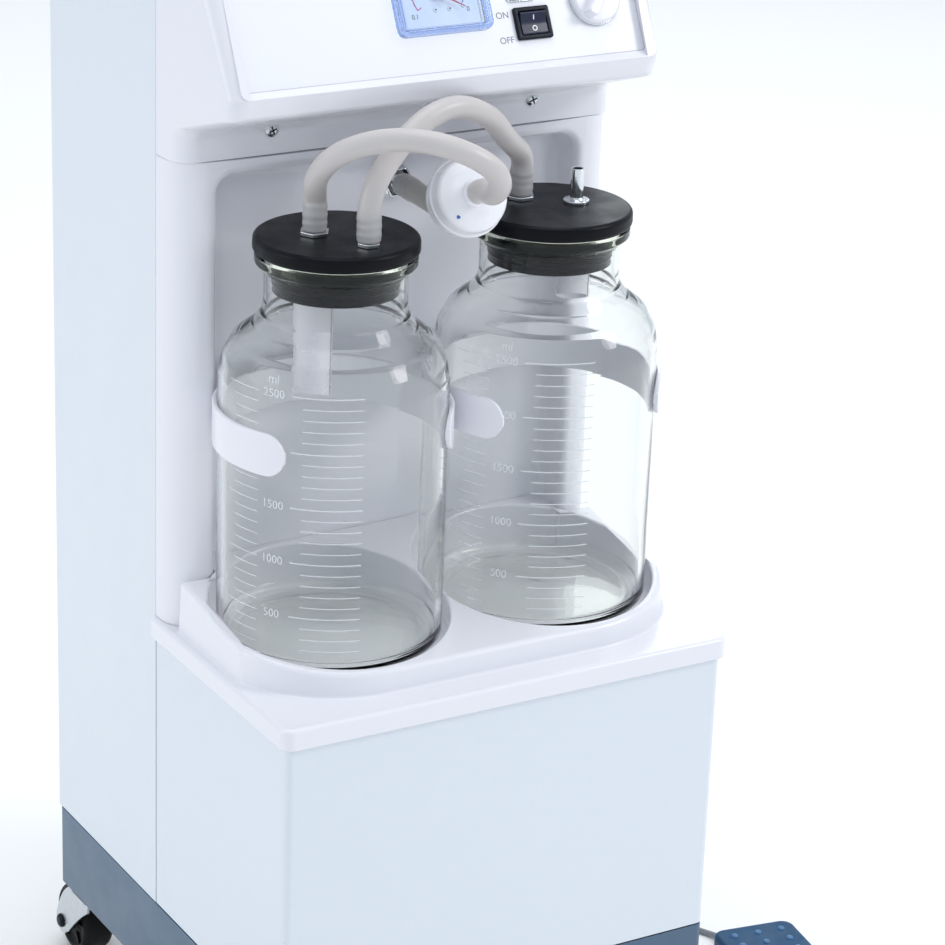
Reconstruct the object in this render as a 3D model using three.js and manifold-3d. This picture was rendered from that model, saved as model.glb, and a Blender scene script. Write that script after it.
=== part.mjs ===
// Electric suction pump on casters: cabinet, console, two glass jars, hoses and a foot switch.
// Millimetres, +X right, +Y back, +Z up, floor at z = 0.
import * as THREE from "three";
import { mergeVertices } from "three/addons/utils/BufferGeometryUtils.js";
import Module from "manifold-3d";

const wasm = await Module();
wasm.setup();
const { Manifold, Mesh: SolidMesh } = wasm;

// ---------------------------------------------------------------- driving dimensions
const GAP = 0.3; // space left between pieces that touch
const SHEET = 1.5; // steel panels
const WALL = 3; // plastic mouldings
const HALF_W = 156; // half the cabinet's width
const BACK = 159; // back of the cabinet, in front of y = 0 is the moulded front
const BOX_FRONT = -184.5; // front of the lower box
const SKIRT_BOTTOM = 64;
const SKIRT_TOP = 123.4;
const TRAY_LIP = 317; // lower edge of the tray's rim
const TRAY_TOP = 331; // upper face of the tray's flange
const TRAY_OVER = 3.5; // the tray's rim stands out from the box
const SEAM_Z = 636.5; // joint between the two front mouldings
const CAP_Z = 790; // joint between the panels and the top cap
const TOP_Z = 815;
const SHELF_BACK = 96; // the cap's flat top ends here; the handle stands a little lower
const SHELF_STEP = 1;
const FRONT_PLANE = -28; // front of the upright moulding behind the jars

const PLATFORM_FRONT = 347; // height of the jar platform at its front
const PLATFORM_BACK = 366; // and at the upright moulding
const PLATFORM_EDGE = 7; // platform rim outside each well
const WELL_R = 76;
const WELL_FLOOR = 335.7;
const RECESS_HALF = 127;
const RECESS_TOP = 626;

const JAR_X = 75.5; // jar axes at -JAR_X and +JAR_X
const JAR_Y = -83.7;
const JAR_R = 71;
const JAR_WALL = 3.5;
const JAR_BOTTOM = 336;
const NECK_R = 44;
const RIM_R = 49.8;
const RIM_TOP = 589.7;
const STOPPER_R = 51;
const STOPPER_T = 10;
const STOPPER_Z = RIM_TOP + GAP; // underside of the stopper's disc
const LID_Z = STOPPER_Z + STOPPER_T;
const PLUG_R = 40.6;
const PLUG_T = 24;

const CLIP_IN = 71.5;
const CLIP_OUT = 74.3;
const CLIP_Z = 480.5;
const CLIP_H = 27;
const CLIP_FROM = -45; // degrees, one tip of each clip
const CLIP_TO = 219; // the other tip, round the back

const HOSE_R = 7;
const HOSE_BORE = 5.8;

const CONSOLE_TILT = 27.5; // degrees back from upright
const CONSOLE_Y = -90; // foot of the console's face
const CONSOLE_Z = 690;
const CONSOLE_HALF = 148; // at the foot of the face; the sides spread to HALF_W at the seam
const FACE_HALF = 139;
const FACE_LOW = 5.5;
const FACE_HIGH = 101;
const FACE_T = 2;
const FACE_DEEP = 5; // the face plate lies this deep in the console

const GAUGE = { x: 1.2, y: 52.8, w: 64, h: 50 };
const SWITCH = { x: 62.7, y: 29.4, w: 25, h: 20.4 };
const KNOB = { x: 109.4, y: 41.1, r: 18 };

const WHEEL_R = 25;
const CASTER_X = 133;
const CASTER_TRAIL = 30;
const CASTER_BACK_Y = 138;
const CASTER_FRONT_Y = -150;

const PEDAL = { x: 273.9, y: -116.5, turn: -9, w: 62, l: 100, top: 30 };
const CABLE_R = 2;
const COIL = { x: 60, y: 262, r: 22, half: 6 };

// ---------------------------------------------------------------- colours
const LIGHT_BLUE = 0xcddeec;
const WHITE_ABS = 0xeeedf6;
const BLUE_GREY = 0x5f7890;
const GLASS = 0xdfeae6;
const RUBBER = 0x14151c;
const SILICONE = 0xdbd6d3;
const CHROME = 0xc8ccd2;
const ZINC = 0xb9bcc0;
const BLACK = 0x17181b;
const STEEL_BLUE = 0x37557f;
const CABLE_GREY = 0x8f9296;

// ---------------------------------------------------------------- solids
function toSolid(geometry) {
  const plain = geometry.clone();
  plain.deleteAttribute("normal");
  plain.deleteAttribute("uv");
  const merged = mergeVertices(plain, 1e-4);
  return new Manifold(
    new SolidMesh({
      numProp: 3,
      vertProperties: merged.attributes.position.array,
      triVerts: new Uint32Array(merged.index.array),
    }),
  );
}

function toGeometry(solid) {
  const mesh = solid.getMesh();
  const geometry = new THREE.BufferGeometry();
  const stride = mesh.numProp;
  const places = new Float32Array((mesh.vertProperties.length / stride) * 3);
  for (let i = 0; i < places.length / 3; i += 1) {
    places.set(mesh.vertProperties.subarray(i * stride, i * stride + 3), i * 3);
  }
  geometry.setAttribute("position", new THREE.BufferAttribute(places, 3));
  geometry.setIndex(new THREE.BufferAttribute(new Uint32Array(mesh.triVerts), 1));
  const flat = geometry.toNonIndexed();
  flat.computeVertexNormals();
  return flat;
}

const join = (...solids) => solids.reduce((sum, solid) => sum.add(solid));
const cut = (body, ...tools) => tools.reduce((left, tool) => left.subtract(tool), body);

function box(x0, x1, y0, y1, z0, z1) {
  const geometry = new THREE.BoxGeometry(x1 - x0, y1 - y0, z1 - z0);
  geometry.translate((x0 + x1) / 2, (y0 + y1) / 2, (z0 + z1) / 2);
  return toSolid(geometry);
}

// A rectangle with round corners, wound counter-clockwise; radii from the left front corner round.
function roundedShape(x0, x1, y0, y1, radii) {
  const [a, b, c, d] = Array.isArray(radii) ? radii : [radii, radii, radii, radii];
  const shape = new THREE.Shape();
  shape.moveTo(x0 + a, y0);
  shape.lineTo(x1 - b, y0);
  if (b > 0) shape.absarc(x1 - b, y0 + b, b, -Math.PI / 2, 0, false);
  shape.lineTo(x1, y1 - c);
  if (c > 0) shape.absarc(x1 - c, y1 - c, c, 0, Math.PI / 2, false);
  shape.lineTo(x0 + d, y1);
  if (d > 0) shape.absarc(x0 + d, y1 - d, d, Math.PI / 2, Math.PI, false);
  shape.lineTo(x0, y0 + a);
  if (a > 0) shape.absarc(x0 + a, y0 + a, a, Math.PI, 1.5 * Math.PI, false);
  return shape;
}

// A flat outline made thick along z.
function prism(shape, z0, z1, curveSegments = 5) {
  const geometry = new THREE.ExtrudeGeometry(shape, {
    depth: z1 - z0,
    bevelEnabled: false,
    curveSegments,
  });
  geometry.translate(0, 0, z0);
  return toSolid(geometry);
}

// An outline in (y, z) made thick along x.
function prismX(points, x0, x1) {
  const shape = new THREE.Shape(points.map(([y, z]) => new THREE.Vector2(y, z)));
  const geometry = new THREE.ExtrudeGeometry(shape, { depth: x1 - x0, bevelEnabled: false });
  geometry.rotateX(Math.PI / 2);
  geometry.rotateZ(Math.PI / 2);
  geometry.translate(x0, 0, 0);
  return toSolid(geometry);
}

// A turned solid on the z axis from (radius, z) pairs that go up the outside.
function turned(profile, sides = 24) {
  const geometry = new THREE.LatheGeometry(
    profile.map(([radius, z]) => new THREE.Vector2(radius, z)),
    sides,
  );
  geometry.rotateX(Math.PI / 2);
  return toSolid(geometry);
}

function disc(radius, z0, z1, sides = 16) {
  return turned([[0, z0], [radius, z0], [radius, z1], [0, z1]], sides);
}

// A round tube along a smooth curve; a bore of 0 makes it solid.
function tube(points, radius, bore, sides, steps) {
  const curve = new THREE.CatmullRomCurve3(points.map((p) => new THREE.Vector3(...p)));
  const ring = (r, count) => Array.from({ length: count }, (_, i) => {
    const angle = ((i + 0.5) / count) * 2 * Math.PI;
    return new THREE.Vector2(r * Math.cos(angle), r * Math.sin(angle));
  });
  const shape = new THREE.Shape(ring(radius, sides));
  if (bore > 0) shape.holes.push(new THREE.Path(ring(bore, 6).reverse()));
  const geometry = new THREE.ExtrudeGeometry(shape, { steps, extrudePath: curve });
  return toSolid(geometry);
}

// A closed skin over rings of points; every ring has the same number of points.
function loft(rings) {
  const count = rings[0].length;
  const places = rings.flat(2);
  const faces = [];
  for (let k = 0; k + 1 < rings.length; k += 1) {
    for (let i = 0; i < count; i += 1) {
      const a = k * count + i;
      const b = k * count + ((i + 1) % count);
      faces.push(a, b, a + count, b, b + count, a + count);
    }
  }
  const last = (rings.length - 1) * count;
  for (let i = 1; i + 1 < count; i += 1) {
    faces.push(0, i + 1, i);
    faces.push(last, last + i, last + i + 1);
  }
  const geometry = new THREE.BufferGeometry();
  geometry.setAttribute("position", new THREE.Float32BufferAttribute(places, 3));
  geometry.setIndex(faces);
  return toSolid(geometry);
}

// ---------------------------------------------------------------- scene graph
const part = new THREE.Group();
const model = new THREE.Group(); // in the cabinet's own coordinates
part.add(model);

function add(name, solid, color, roughness, metalness = 0, parent = model) {
  const material = new THREE.MeshStandardMaterial({ color, roughness, metalness });
  const mesh = new THREE.Mesh(toGeometry(solid), material);
  mesh.name = name;
  parent.add(mesh);
  return mesh;
}

// ---------------------------------------------------------------- cabinet
const casters = [
  ["rear_left", -CASTER_X, CASTER_BACK_Y],
  ["rear_right", CASTER_X, CASTER_BACK_Y],
  ["front_left", -CASTER_X, CASTER_FRONT_Y],
  ["front_right", CASTER_X, CASTER_FRONT_Y],
];
const PAN_BOTTOM = SKIRT_BOTTOM + 0.6;
const PAN_TOP = PAN_BOTTOM + 2;
const BOSS_BOTTOM = 60.6;
const KINGPIN_R = 5;

function basePan() {
  const inset = SHEET + GAP;
  const outline = roundedShape(
    -HALF_W + inset, HALF_W - inset, BOX_FRONT + inset, BACK - inset, 3,
  );
  let pan = prism(outline, PAN_BOTTOM, PAN_TOP, 2);
  for (const [, x, y] of casters) {
    pan = join(pan, disc(19, BOSS_BOTTOM, PAN_TOP, 12).translate([x, y, 0]));
    pan = cut(pan, disc(KINGPIN_R + 0.8, 50, 80, 10).translate([x, y, 0]));
  }
  for (let i = -2; i <= 2; i += 1) {
    pan = cut(pan, box(i * 24 - 4, i * 24 + 4, 90, 140, 60, 70));
  }
  return pan;
}
add("base_pan", basePan(), ZINC, 0.5, 0.8);

function skirt() {
  const shell = (inset, z0, z1) => prism(
    roundedShape(-HALF_W + inset, HALF_W - inset, BOX_FRONT + inset, BACK - inset, 5 - inset),
    z0, z1, 3,
  );
  return cut(shell(0, SKIRT_BOTTOM, SKIRT_TOP - GAP), shell(SHEET, SKIRT_BOTTOM - 1, SKIRT_TOP + 1));
}
add("skirt", skirt(), BLUE_GREY, 0.5);

// Each side panel is folded: a flat side, a flange round the back and a flange at the front seam.
function sidePanel(side) {
  const outline = [
    [HALF_W, GAP],
    [HALF_W, BACK],
    [HALF_W - 14, BACK],
    [HALF_W - 14, BACK - SHEET],
    [HALF_W - SHEET, BACK - SHEET],
    [HALF_W - SHEET, GAP + SHEET],
    [HALF_W - 12, GAP + SHEET],
    [HALF_W - 12, GAP],
  ];
  const shape = new THREE.Shape(outline.map(([x, y]) => new THREE.Vector2(side * x, y)));
  return prism(shape, SKIRT_TOP, CAP_Z - GAP);
}
add("side_panel_left", sidePanel(-1), LIGHT_BLUE, 0.4);
add("side_panel_right", sidePanel(1), LIGHT_BLUE, 0.4);

function lowerBox() {
  const top = TRAY_TOP - WALL - 2.3;
  const outer = prism(roundedShape(-HALF_W, HALF_W, BOX_FRONT, -GAP, [5, 5, 0, 0]), SKIRT_TOP, top, 3);
  const inner = roundedShape(
    -HALF_W + SHEET, HALF_W - SHEET, BOX_FRONT + SHEET, 5, [3.5, 3.5, 0, 0],
  );
  return cut(outer, prism(inner, SKIRT_TOP - 1, top + 1, 3));
}
add("lower_box", lowerBox(), LIGHT_BLUE, 0.4);

const INLET = { x: 90, z: 185, w: 48, h: 28 };
const CABLE_EXIT = { x: 20, z: 150 };
const REAR_HALF = HALF_W - 14 - GAP;

function rearPanel() {
  let panel = box(-REAR_HALF, REAR_HALF, BACK - SHEET, BACK, SKIRT_TOP, CAP_Z - GAP);
  for (let row = 0; row < 6; row += 1) {
    const z = 240 + row * 16;
    panel = cut(panel, box(-90, -10, BACK - 5, BACK + 5, z, z + 5));
    panel = cut(panel, box(10, 90, BACK - 5, BACK + 5, z, z + 5));
  }
  const half = INLET.w / 2 - 8;
  panel = cut(panel, box(
    INLET.x - half, INLET.x + half, BACK - 5, BACK + 5, INLET.z - 10.5, INLET.z + 10.5,
  ));
  const hole = disc(5.4, -8, 8, 10).rotate([90, 0, 0]);
  return cut(panel, hole.translate([CABLE_EXIT.x, BACK, CABLE_EXIT.z]));
}
add("rear_panel", rearPanel(), LIGHT_BLUE, 0.4);

function mainsInlet() {
  const flange = roundedShape(-INLET.w / 2, INLET.w / 2, -INLET.h / 2, INLET.h / 2, 5);
  const bezel = prism(flange, BACK + GAP, BACK + 3.3, 2);
  const body = box(-15.5, 15.5, -10.2, 10.2, BACK - 24, BACK + 1);
  const socket = prism(roundedShape(-12.5, 12.5, -8.5, 8.5, 2), BACK - 15, BACK + 5, 2);
  const pins = [[-7, -2], [7, -2], [0, 3]].map(([x, y]) => (
    box(x - 2, x + 2, y - 1, y + 1, BACK - 18, BACK - 2)
  ));
  return join(cut(join(bezel, body), socket), ...pins)
    .rotate([-90, 0, 0])
    .translate([INLET.x, 0, INLET.z]);
}
add("mains_inlet", mainsInlet(), BLACK, 0.5);

// ---------------------------------------------------------------- front mouldings and tray
function platformHeight(y) {
  const rise = (PLATFORM_BACK - PLATFORM_FRONT) / (FRONT_PLANE + 160);
  return PLATFORM_FRONT + rise * (y + 160);
}

// Outline of the jar platform, grown by `grow`: round about each jar in front, straight behind.
function platformShape(grow) {
  const radius = WELL_R + PLATFORM_EDGE + grow;
  const back = FRONT_PLANE - GAP + Math.min(grow, 0);
  const deep = FRONT_PLANE + 24 + Math.min(grow, 0);
  const recess = RECESS_HALF - 0.5 + Math.min(grow, 0);
  const side = HALF_W - 3 + grow;
  const start = Math.acos((side - JAR_X) / radius);
  const shape = new THREE.Shape();
  shape.moveTo(side, JAR_Y - radius * Math.sin(start));
  shape.lineTo(side, back);
  shape.lineTo(recess, back);
  shape.lineTo(recess, deep);
  shape.lineTo(-recess, deep);
  shape.lineTo(-recess, back);
  shape.lineTo(-side, back);
  shape.absarc(-JAR_X, JAR_Y, radius, Math.PI + start, 1.5 * Math.PI, false);
  shape.absarc(JAR_X, JAR_Y, radius, 1.5 * Math.PI, 2 * Math.PI - start, false);
  return shape;
}

function tray() {
  const out = HALF_W + TRAY_OVER;
  const front = BOX_FRONT - TRAY_OVER;
  const rim = roundedShape(-out, out, front, -GAP, [8, 8, 0, 0]);
  const flange = join(
    prism(rim, TRAY_LIP, TRAY_TOP - 2.5, 3),
    prism(roundedShape(-out + 2, out - 2, front + 2, -GAP, [6, 6, 0, 0]), TRAY_TOP - 3, TRAY_TOP, 3),
  );
  const slope = (drop, x) => prismX(
    [
      [-200, 300],
      [10, 300],
      [10, platformHeight(10) - drop],
      [-200, platformHeight(-200) - drop],
    ],
    -x, x,
  );
  const raised = join(
    prism(platformShape(0), TRAY_TOP - 1, 400, 7).intersect(slope(0, 200)),
    prism(platformShape(2.5), TRAY_TOP - 1, TRAY_TOP + 2, 7),
  );
  const underBox = prism(
    roundedShape(-HALF_W - GAP, HALF_W + GAP, BOX_FRONT - GAP, 5, [5, 5, 0, 0]),
    TRAY_LIP - 5, TRAY_TOP - WALL - 2, 3,
  );
  const underRaised = prism(platformShape(-WALL), TRAY_LIP - 5, 400, 7).intersect(slope(WALL, 200));
  const wells = [-JAR_X, JAR_X].map((x) => (
    disc(WELL_R + WALL, WELL_FLOOR - WALL, 400, 28).translate([x, JAR_Y, 0])
  ));
  const hollow = cut(join(underBox, underRaised), ...wells);
  const holes = [-JAR_X, JAR_X].map((x) => (
    disc(WELL_R, WELL_FLOOR, 400, 28).translate([x, JAR_Y, 0])
  ));
  return cut(join(flange, raised), hollow, ...holes);
}
add("tray", tray(), WHITE_ABS, 0.3);

const NIPPLE_WALL = { x: 8, z: 602 }; // vacuum outlet in the wall behind the jars

function frontMoulding() {
  const z0 = TRAY_TOP + GAP;
  const z1 = SEAM_Z - GAP;
  const outer = roundedShape(-HALF_W, HALF_W, FRONT_PLANE, -GAP, [22, 22, 0, 0]);
  const inner = roundedShape(
    -HALF_W + WALL, HALF_W - WALL, FRONT_PLANE + WALL, 5, [19, 19, 0, 0],
  );
  const tub = (grow, y0, y1, top) => {
    const half = RECESS_HALF + grow;
    const outline = roundedShape(-half, half, 0, top - z0, [0, 0, 12, 12]);
    return prism(outline, -y1, -y0, 4).rotate([90, 0, 0]).translate([0, 0, z0]);
  };
  const shell = cut(prism(outer, z0, z1, 4), prism(inner, z0 - 1, z1 - WALL, 4));
  const body = join(shell, tub(WALL, FRONT_PLANE + 1, -GAP, RECESS_TOP + WALL));
  const hole = disc(5.4, -6, 6, 10).rotate([90, 0, 0]);
  return cut(
    body,
    tub(0, FRONT_PLANE - 5, -GAP - WALL, RECESS_TOP),
    box(-RECESS_HALF, RECESS_HALF, FRONT_PLANE - 5, -GAP - WALL, z0 - 1, z0 + 5),
    hole.translate([NIPPLE_WALL.x, -2, NIPPLE_WALL.z]),
  );
}
add("front_moulding", frontMoulding(), WHITE_ABS, 0.32);

const TILT = (CONSOLE_TILT * Math.PI) / 180;
const slopeAt = (s) => [CONSOLE_Y + s * Math.sin(TILT), CONSOLE_Z + s * Math.cos(TILT)];
const onConsole = (solid) => (
  solid.rotate([90 - CONSOLE_TILT, 0, 0]).translate([0, CONSOLE_Y, CONSOLE_Z])
);
const SLOPE_LENGTH = (CAP_Z - CONSOLE_Z) / Math.cos(TILT);
const SCREW = { x: 92, z: 652 };

// Side view of the console, moved in by `inset`.
function consoleOutline(inset) {
  const [topY, topZ] = slopeAt(SLOPE_LENGTH);
  const shift = inset / Math.cos(TILT);
  return [
    [3, SEAM_Z + (inset > 0 ? -5 : 0)],
    [FRONT_PLANE + inset, SEAM_Z + (inset > 0 ? -5 : 0)],
    [FRONT_PLANE + inset, 656 + inset],
    [CONSOLE_Y + 4 + inset, 676 + inset],
    [CONSOLE_Y + 0.6 + inset, 680 + inset * 0.6],
    [CONSOLE_Y + shift, CONSOLE_Z],
    [topY + shift, topZ + (inset > 0 ? 5 : 0)],
    [3, topZ + (inset > 0 ? 5 : 0)],
  ];
}

// Outline seen from above of what stands out past the upright moulding; its sides lean in to the front.
function consolePlan(inset) {
  const lean = (HALF_W - CONSOLE_HALF) / -CONSOLE_Y;
  const halfAt = (y) => HALF_W - inset + lean * Math.min(y, 0);
  const [front, back] = [-120, 3];
  return new THREE.Shape([
    new THREE.Vector2(-halfAt(front), front),
    new THREE.Vector2(halfAt(front), front),
    new THREE.Vector2(halfAt(0), back),
    new THREE.Vector2(-halfAt(0), back),
  ]);
}

function consoleMoulding() {
  const z0 = SEAM_Z;
  const z1 = CAP_Z - GAP;
  const shoulder = 652; // below it the corners are round like those of the moulding under it
  const plan = (inset) => join(
    prism(roundedShape(
      -HALF_W + inset, HALF_W - inset, FRONT_PLANE + inset, 3, [22, 22, 0, 0],
    ), z0 - 9, shoulder + inset + 1),
    prism(consolePlan(inset), shoulder + inset, z1 + 9),
  );
  const outer = prismX(consoleOutline(0), -200, 200).intersect(plan(0));
  const inner = prismX(consoleOutline(WALL), -200, 200).intersect(plan(WALL));
  const shell = cut(outer, inner, box(-200, 200, -GAP, 10, 600, 900), box(-200, 200, -200, 10, z1, 900));
  const pocketFloor = -FACE_DEEP - FACE_T - GAP;
  const pocket = prism(
    roundedShape(-FACE_HALF - GAP, FACE_HALF + GAP, FACE_LOW - GAP, FACE_HIGH + GAP, 7),
    pocketFloor, 5, 3,
  );
  const backing = prism(
    roundedShape(-FACE_HALF - 3, FACE_HALF + 3, FACE_LOW - 3, FACE_HIGH + 3, 8),
    pocketFloor - WALL, -1, 3,
  );
  const holes = screwPlaces.map(([, x]) => (
    disc(2.4, -8, 8, 8).rotate([90, 0, 0]).translate([x, FRONT_PLANE, SCREW.z])
  ));
  return cut(
    join(shell, onConsole(backing)),
    onConsole(pocket),
    onConsole(faceHoles(-20 - FACE_DEEP)),
    ...holes,
  );
}

// Openings for the gauge, the switch and the regulator's stem.
function faceHoles(depth) {
  return join(
    prism(roundedShape(
      GAUGE.x - GAUGE.w / 2 + 4, GAUGE.x + GAUGE.w / 2 - 4,
      GAUGE.y - GAUGE.h / 2 + 4, GAUGE.y + GAUGE.h / 2 - 4, 3,
    ), depth, 10, 3),
    box(
      SWITCH.x - SWITCH.w / 2 + 1.5, SWITCH.x + SWITCH.w / 2 - 1.5,
      SWITCH.y - SWITCH.h / 2 + 1.5, SWITCH.y + SWITCH.h / 2 - 1.5, depth, 10,
    ),
    disc(4.6, depth, 10, 12).translate([KNOB.x, KNOB.y, 0]),
  );
}
const screwPlaces = [["console_screw_left", -SCREW.x], ["console_screw_right", SCREW.x]];
add("console_moulding", consoleMoulding(), WHITE_ABS, 0.3);

for (const [name, x] of screwPlaces) {
  const head = turned([[0, 0], [4.2, 0], [4.2, 0.8], [3, 2.4], [0, 2.4]], 10);
  const slot = join(box(-2.6, 2.6, -0.5, 0.5, 1.5, 5), box(-0.5, 0.5, -2.6, 2.6, 1.5, 5));
  const screw = join(cut(head, slot), disc(2, -12, 0.5, 8));
  add(name, screw.rotate([90, 0, 0]).translate([x, FRONT_PLANE - GAP, SCREW.z]), CHROME, 0.25, 1);
}

// The top cap closes the cabinet; its front edge goes on with the console's slope.
function topCap() {
  const [slopeY, slopeZ] = slopeAt(SLOPE_LENGTH);
  const outline = [
    [slopeY, slopeZ],
    [slopeY + 8, slopeZ + 15.4],
    [slopeY + 15, TOP_Z - 2.5],
    [slopeY + 24, TOP_Z],
    [BACK - 6, TOP_Z],
    [BACK, TOP_Z - 6],
    [BACK, CAP_Z],
  ];
  const inner = [
    [slopeY + 6, slopeZ - 5],
    [slopeY + 6, slopeZ + 4],
    [slopeY + 16, TOP_Z - 8],
    [slopeY + 26, TOP_Z - WALL],
    [BACK - 8, TOP_Z - WALL],
    [BACK - WALL, TOP_Z - 8],
    [BACK - WALL, CAP_Z - 5],
  ];
  const plan = (inset) => join(
    prism(roundedShape(-HALF_W + inset, HALF_W - inset, 0, BACK, [0, 0, 6, 6]), 700, 900, 3),
    prism(consolePlan(inset), 700, 900),
  );
  const cap = cut(
    prismX(outline, -200, 200).intersect(plan(0)),
    prismX(inner, -200, 200).intersect(plan(WALL)),
    box(-200, 200, SHELF_BACK, 200, TOP_Z - SHELF_STEP, 900),
  );
  const screws = handleFeet.map(([x]) => disc(3.2, 700, 900, 8).translate([x, HANDLE.y, 0]));
  return cut(cap, ...screws);
}

const HANDLE = { half: 105, y: 118, rise: 42, back: 22, r: 11 };
const handleFeet = [[-HANDLE.half], [HANDLE.half]];
add("top_cap", topCap(), WHITE_ABS, 0.3);

function pushHandle() {
  const z0 = TOP_Z - SHELF_STEP + GAP;
  const { half, y, rise, back, r } = HANDLE;
  const bar = tube(
    [
      [-half, y, z0 + 3],
      [-half, y + 2, z0 + 14],
      [-half + 8, y + back * 0.7, z0 + rise - 8],
      [-half + 30, y + back, z0 + rise],
      [0, y + back, z0 + rise + 1],
      [half - 30, y + back, z0 + rise],
      [half - 8, y + back * 0.7, z0 + rise - 8],
      [half, y + 2, z0 + 14],
      [half, y, z0 + 3],
    ],
    r, 0, 8, 13,
  );
  const feet = handleFeet.map(([x]) => join(
    turned([[0, z0], [17, z0], [17, z0 + 3], [13, z0 + 7], [0, z0 + 7]], 14),
    disc(2.6, z0 - 14, z0 + 1, 8),
    disc(6, z0 - 12, z0 - WALL - 2 * GAP, 6),
  ).translate([x, y, 0]));
  return join(bar, ...feet);
}
add("push_handle", pushHandle(), WHITE_ABS, 0.35);

// ---------------------------------------------------------------- jars
function jar() {
  const outside = [
    [0, JAR_BOTTOM + 3],
    [58, JAR_BOTTOM],
    [66, JAR_BOTTOM + 1.2],
    [JAR_R, JAR_BOTTOM + 8],
    [JAR_R, 512],
    [68.6, 524],
    [62.5, 535],
    [50.5, 544],
    [45, 552],
    [NECK_R, 559],
    [NECK_R, 579],
    [RIM_R, 584],
    [RIM_R, RIM_TOP - 1.5],
    [RIM_R - 1.6, RIM_TOP],
  ];
  const inside = [
    [PLUG_R + 1, RIM_TOP],
    [PLUG_R + 1, 558],
    [43, 549],
    [49, 541.2],
    [60, 532],
    [65.5, 522.5],
    [JAR_R - JAR_WALL, 511],
    [JAR_R - JAR_WALL, JAR_BOTTOM + 12],
    [60, JAR_BOTTOM + 6],
    [0, JAR_BOTTOM + 7.5],
  ];
  return turned([...outside, ...inside], 24);
}

// Places of the fittings on each stopper, from its own axis.
const fittings = {
  left: [["nipple_left_rear", -12.7, 4.7], ["nipple_left_front", 6, -29]],
  right: [["nipple_right", -10.9, 19.5], ["patient_port", 16.8, -1.9]],
};
const STEM_R = 3.6;

function stopper(holes) {
  const z = STOPPER_Z;
  const body = turned([
    [0, z - PLUG_T],
    [PLUG_R - 2, z - PLUG_T],
    [PLUG_R - 0.8, z - 12],
    [PLUG_R - 1.6, z - 11],
    [PLUG_R, z],
    [STOPPER_R, z],
    [STOPPER_R, LID_Z - 1.2],
    [STOPPER_R - 1.2, LID_Z],
    [0, LID_Z],
  ], 24);
  return cut(body, ...holes.map(([, x, y]) => disc(STEM_R + GAP + 0.1, 500, 650, 12).translate([x, y, 0])));
}

// A barbed nipple with a flange on the stopper and a stem through it.
function nipple() {
  const z = LID_Z + GAP;
  const barb = (k) => [[4.4, z + 5 + k * 5], [3.7, z + 9.6 + k * 5]];
  return turned([
    [1.8, STOPPER_Z - PLUG_T - 2],
    [STEM_R, STOPPER_Z - PLUG_T - 2],
    [STEM_R, z],
    [9, z],
    [9, z + 1.4],
    [3.7, z + 2.4],
    ...[0, 1, 2].flatMap(barb),
    [3, z + 21],
    [1.8, z + 21],
    [1.8, STOPPER_Z - PLUG_T - 2],
  ], 12);
}

function patientPort() {
  const z = LID_Z + GAP;
  return turned([
    [2.2, STOPPER_Z - PLUG_T - 2],
    [STEM_R, STOPPER_Z - PLUG_T - 2],
    [STEM_R, z],
    [8.6, z],
    [8.6, z + 1],
    [4.5, z + 2.4],
    [4.5, z + 22],
    [2.9, z + 22],
    [2.9, z + 15],
    [2.2, z + 15],
    [2.2, STOPPER_Z - PLUG_T - 2],
  ], 16);
}

// The overflow guard under a stopper: an open sleeve with a window near its top.
function guardTube(bottom, radius) {
  const top = STOPPER_Z - PLUG_T - GAP;
  const sleeve = turned([
    [radius - 1.6, bottom],
    [radius, bottom],
    [radius, top],
    [STEM_R + GAP, top],
    [STEM_R + GAP, top - 3],
    [radius - 1.6, top - 3],
    [radius - 1.6, bottom],
  ], 16);
  return cut(sleeve, box(-3, 3, -radius - 2, 0, top - 16, top - 8).rotate([0, 0, 40]));
}

// A spring clip round a jar: a band with round tips and a pad that carries it on the wall.
function jarClip() {
  const rings = [];
  const steps = 30;
  const round = (CLIP_H / 2 / CLIP_OUT) * (180 / Math.PI);
  for (let k = 0; k <= steps; k += 1) {
    const part01 = k / steps;
    const eased = part01 - Math.sin(2 * Math.PI * part01) / (2 * Math.PI) * 0.55;
    const angle = CLIP_FROM + (CLIP_TO - CLIP_FROM) * eased;
    const fromTip = Math.min(angle - CLIP_FROM, CLIP_TO - angle);
    const reach = Math.min(1, Math.max(0.12, fromTip / round));
    const half = (CLIP_H / 2) * Math.sqrt(1 - (1 - reach) ** 2);
    const turn = (angle * Math.PI) / 180;
    const at = (radius, z) => [radius * Math.cos(turn), radius * Math.sin(turn), z];
    rings.push([
      at(CLIP_IN, CLIP_Z - half),
      at(CLIP_IN, CLIP_Z + half),
      at(CLIP_OUT, CLIP_Z + half),
      at(CLIP_OUT, CLIP_Z - half),
    ]);
  }
  const wall = -GAP - WALL - GAP - JAR_Y;
  const pad = box(-16, 16, CLIP_OUT - 2.5, wall, CLIP_Z - 13, CLIP_Z + 13);
  const trimmed = cut(pad, disc(CLIP_IN + 1, CLIP_Z - 20, CLIP_Z + 20, 32));
  return join(loft(rings), trimmed);
}

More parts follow.
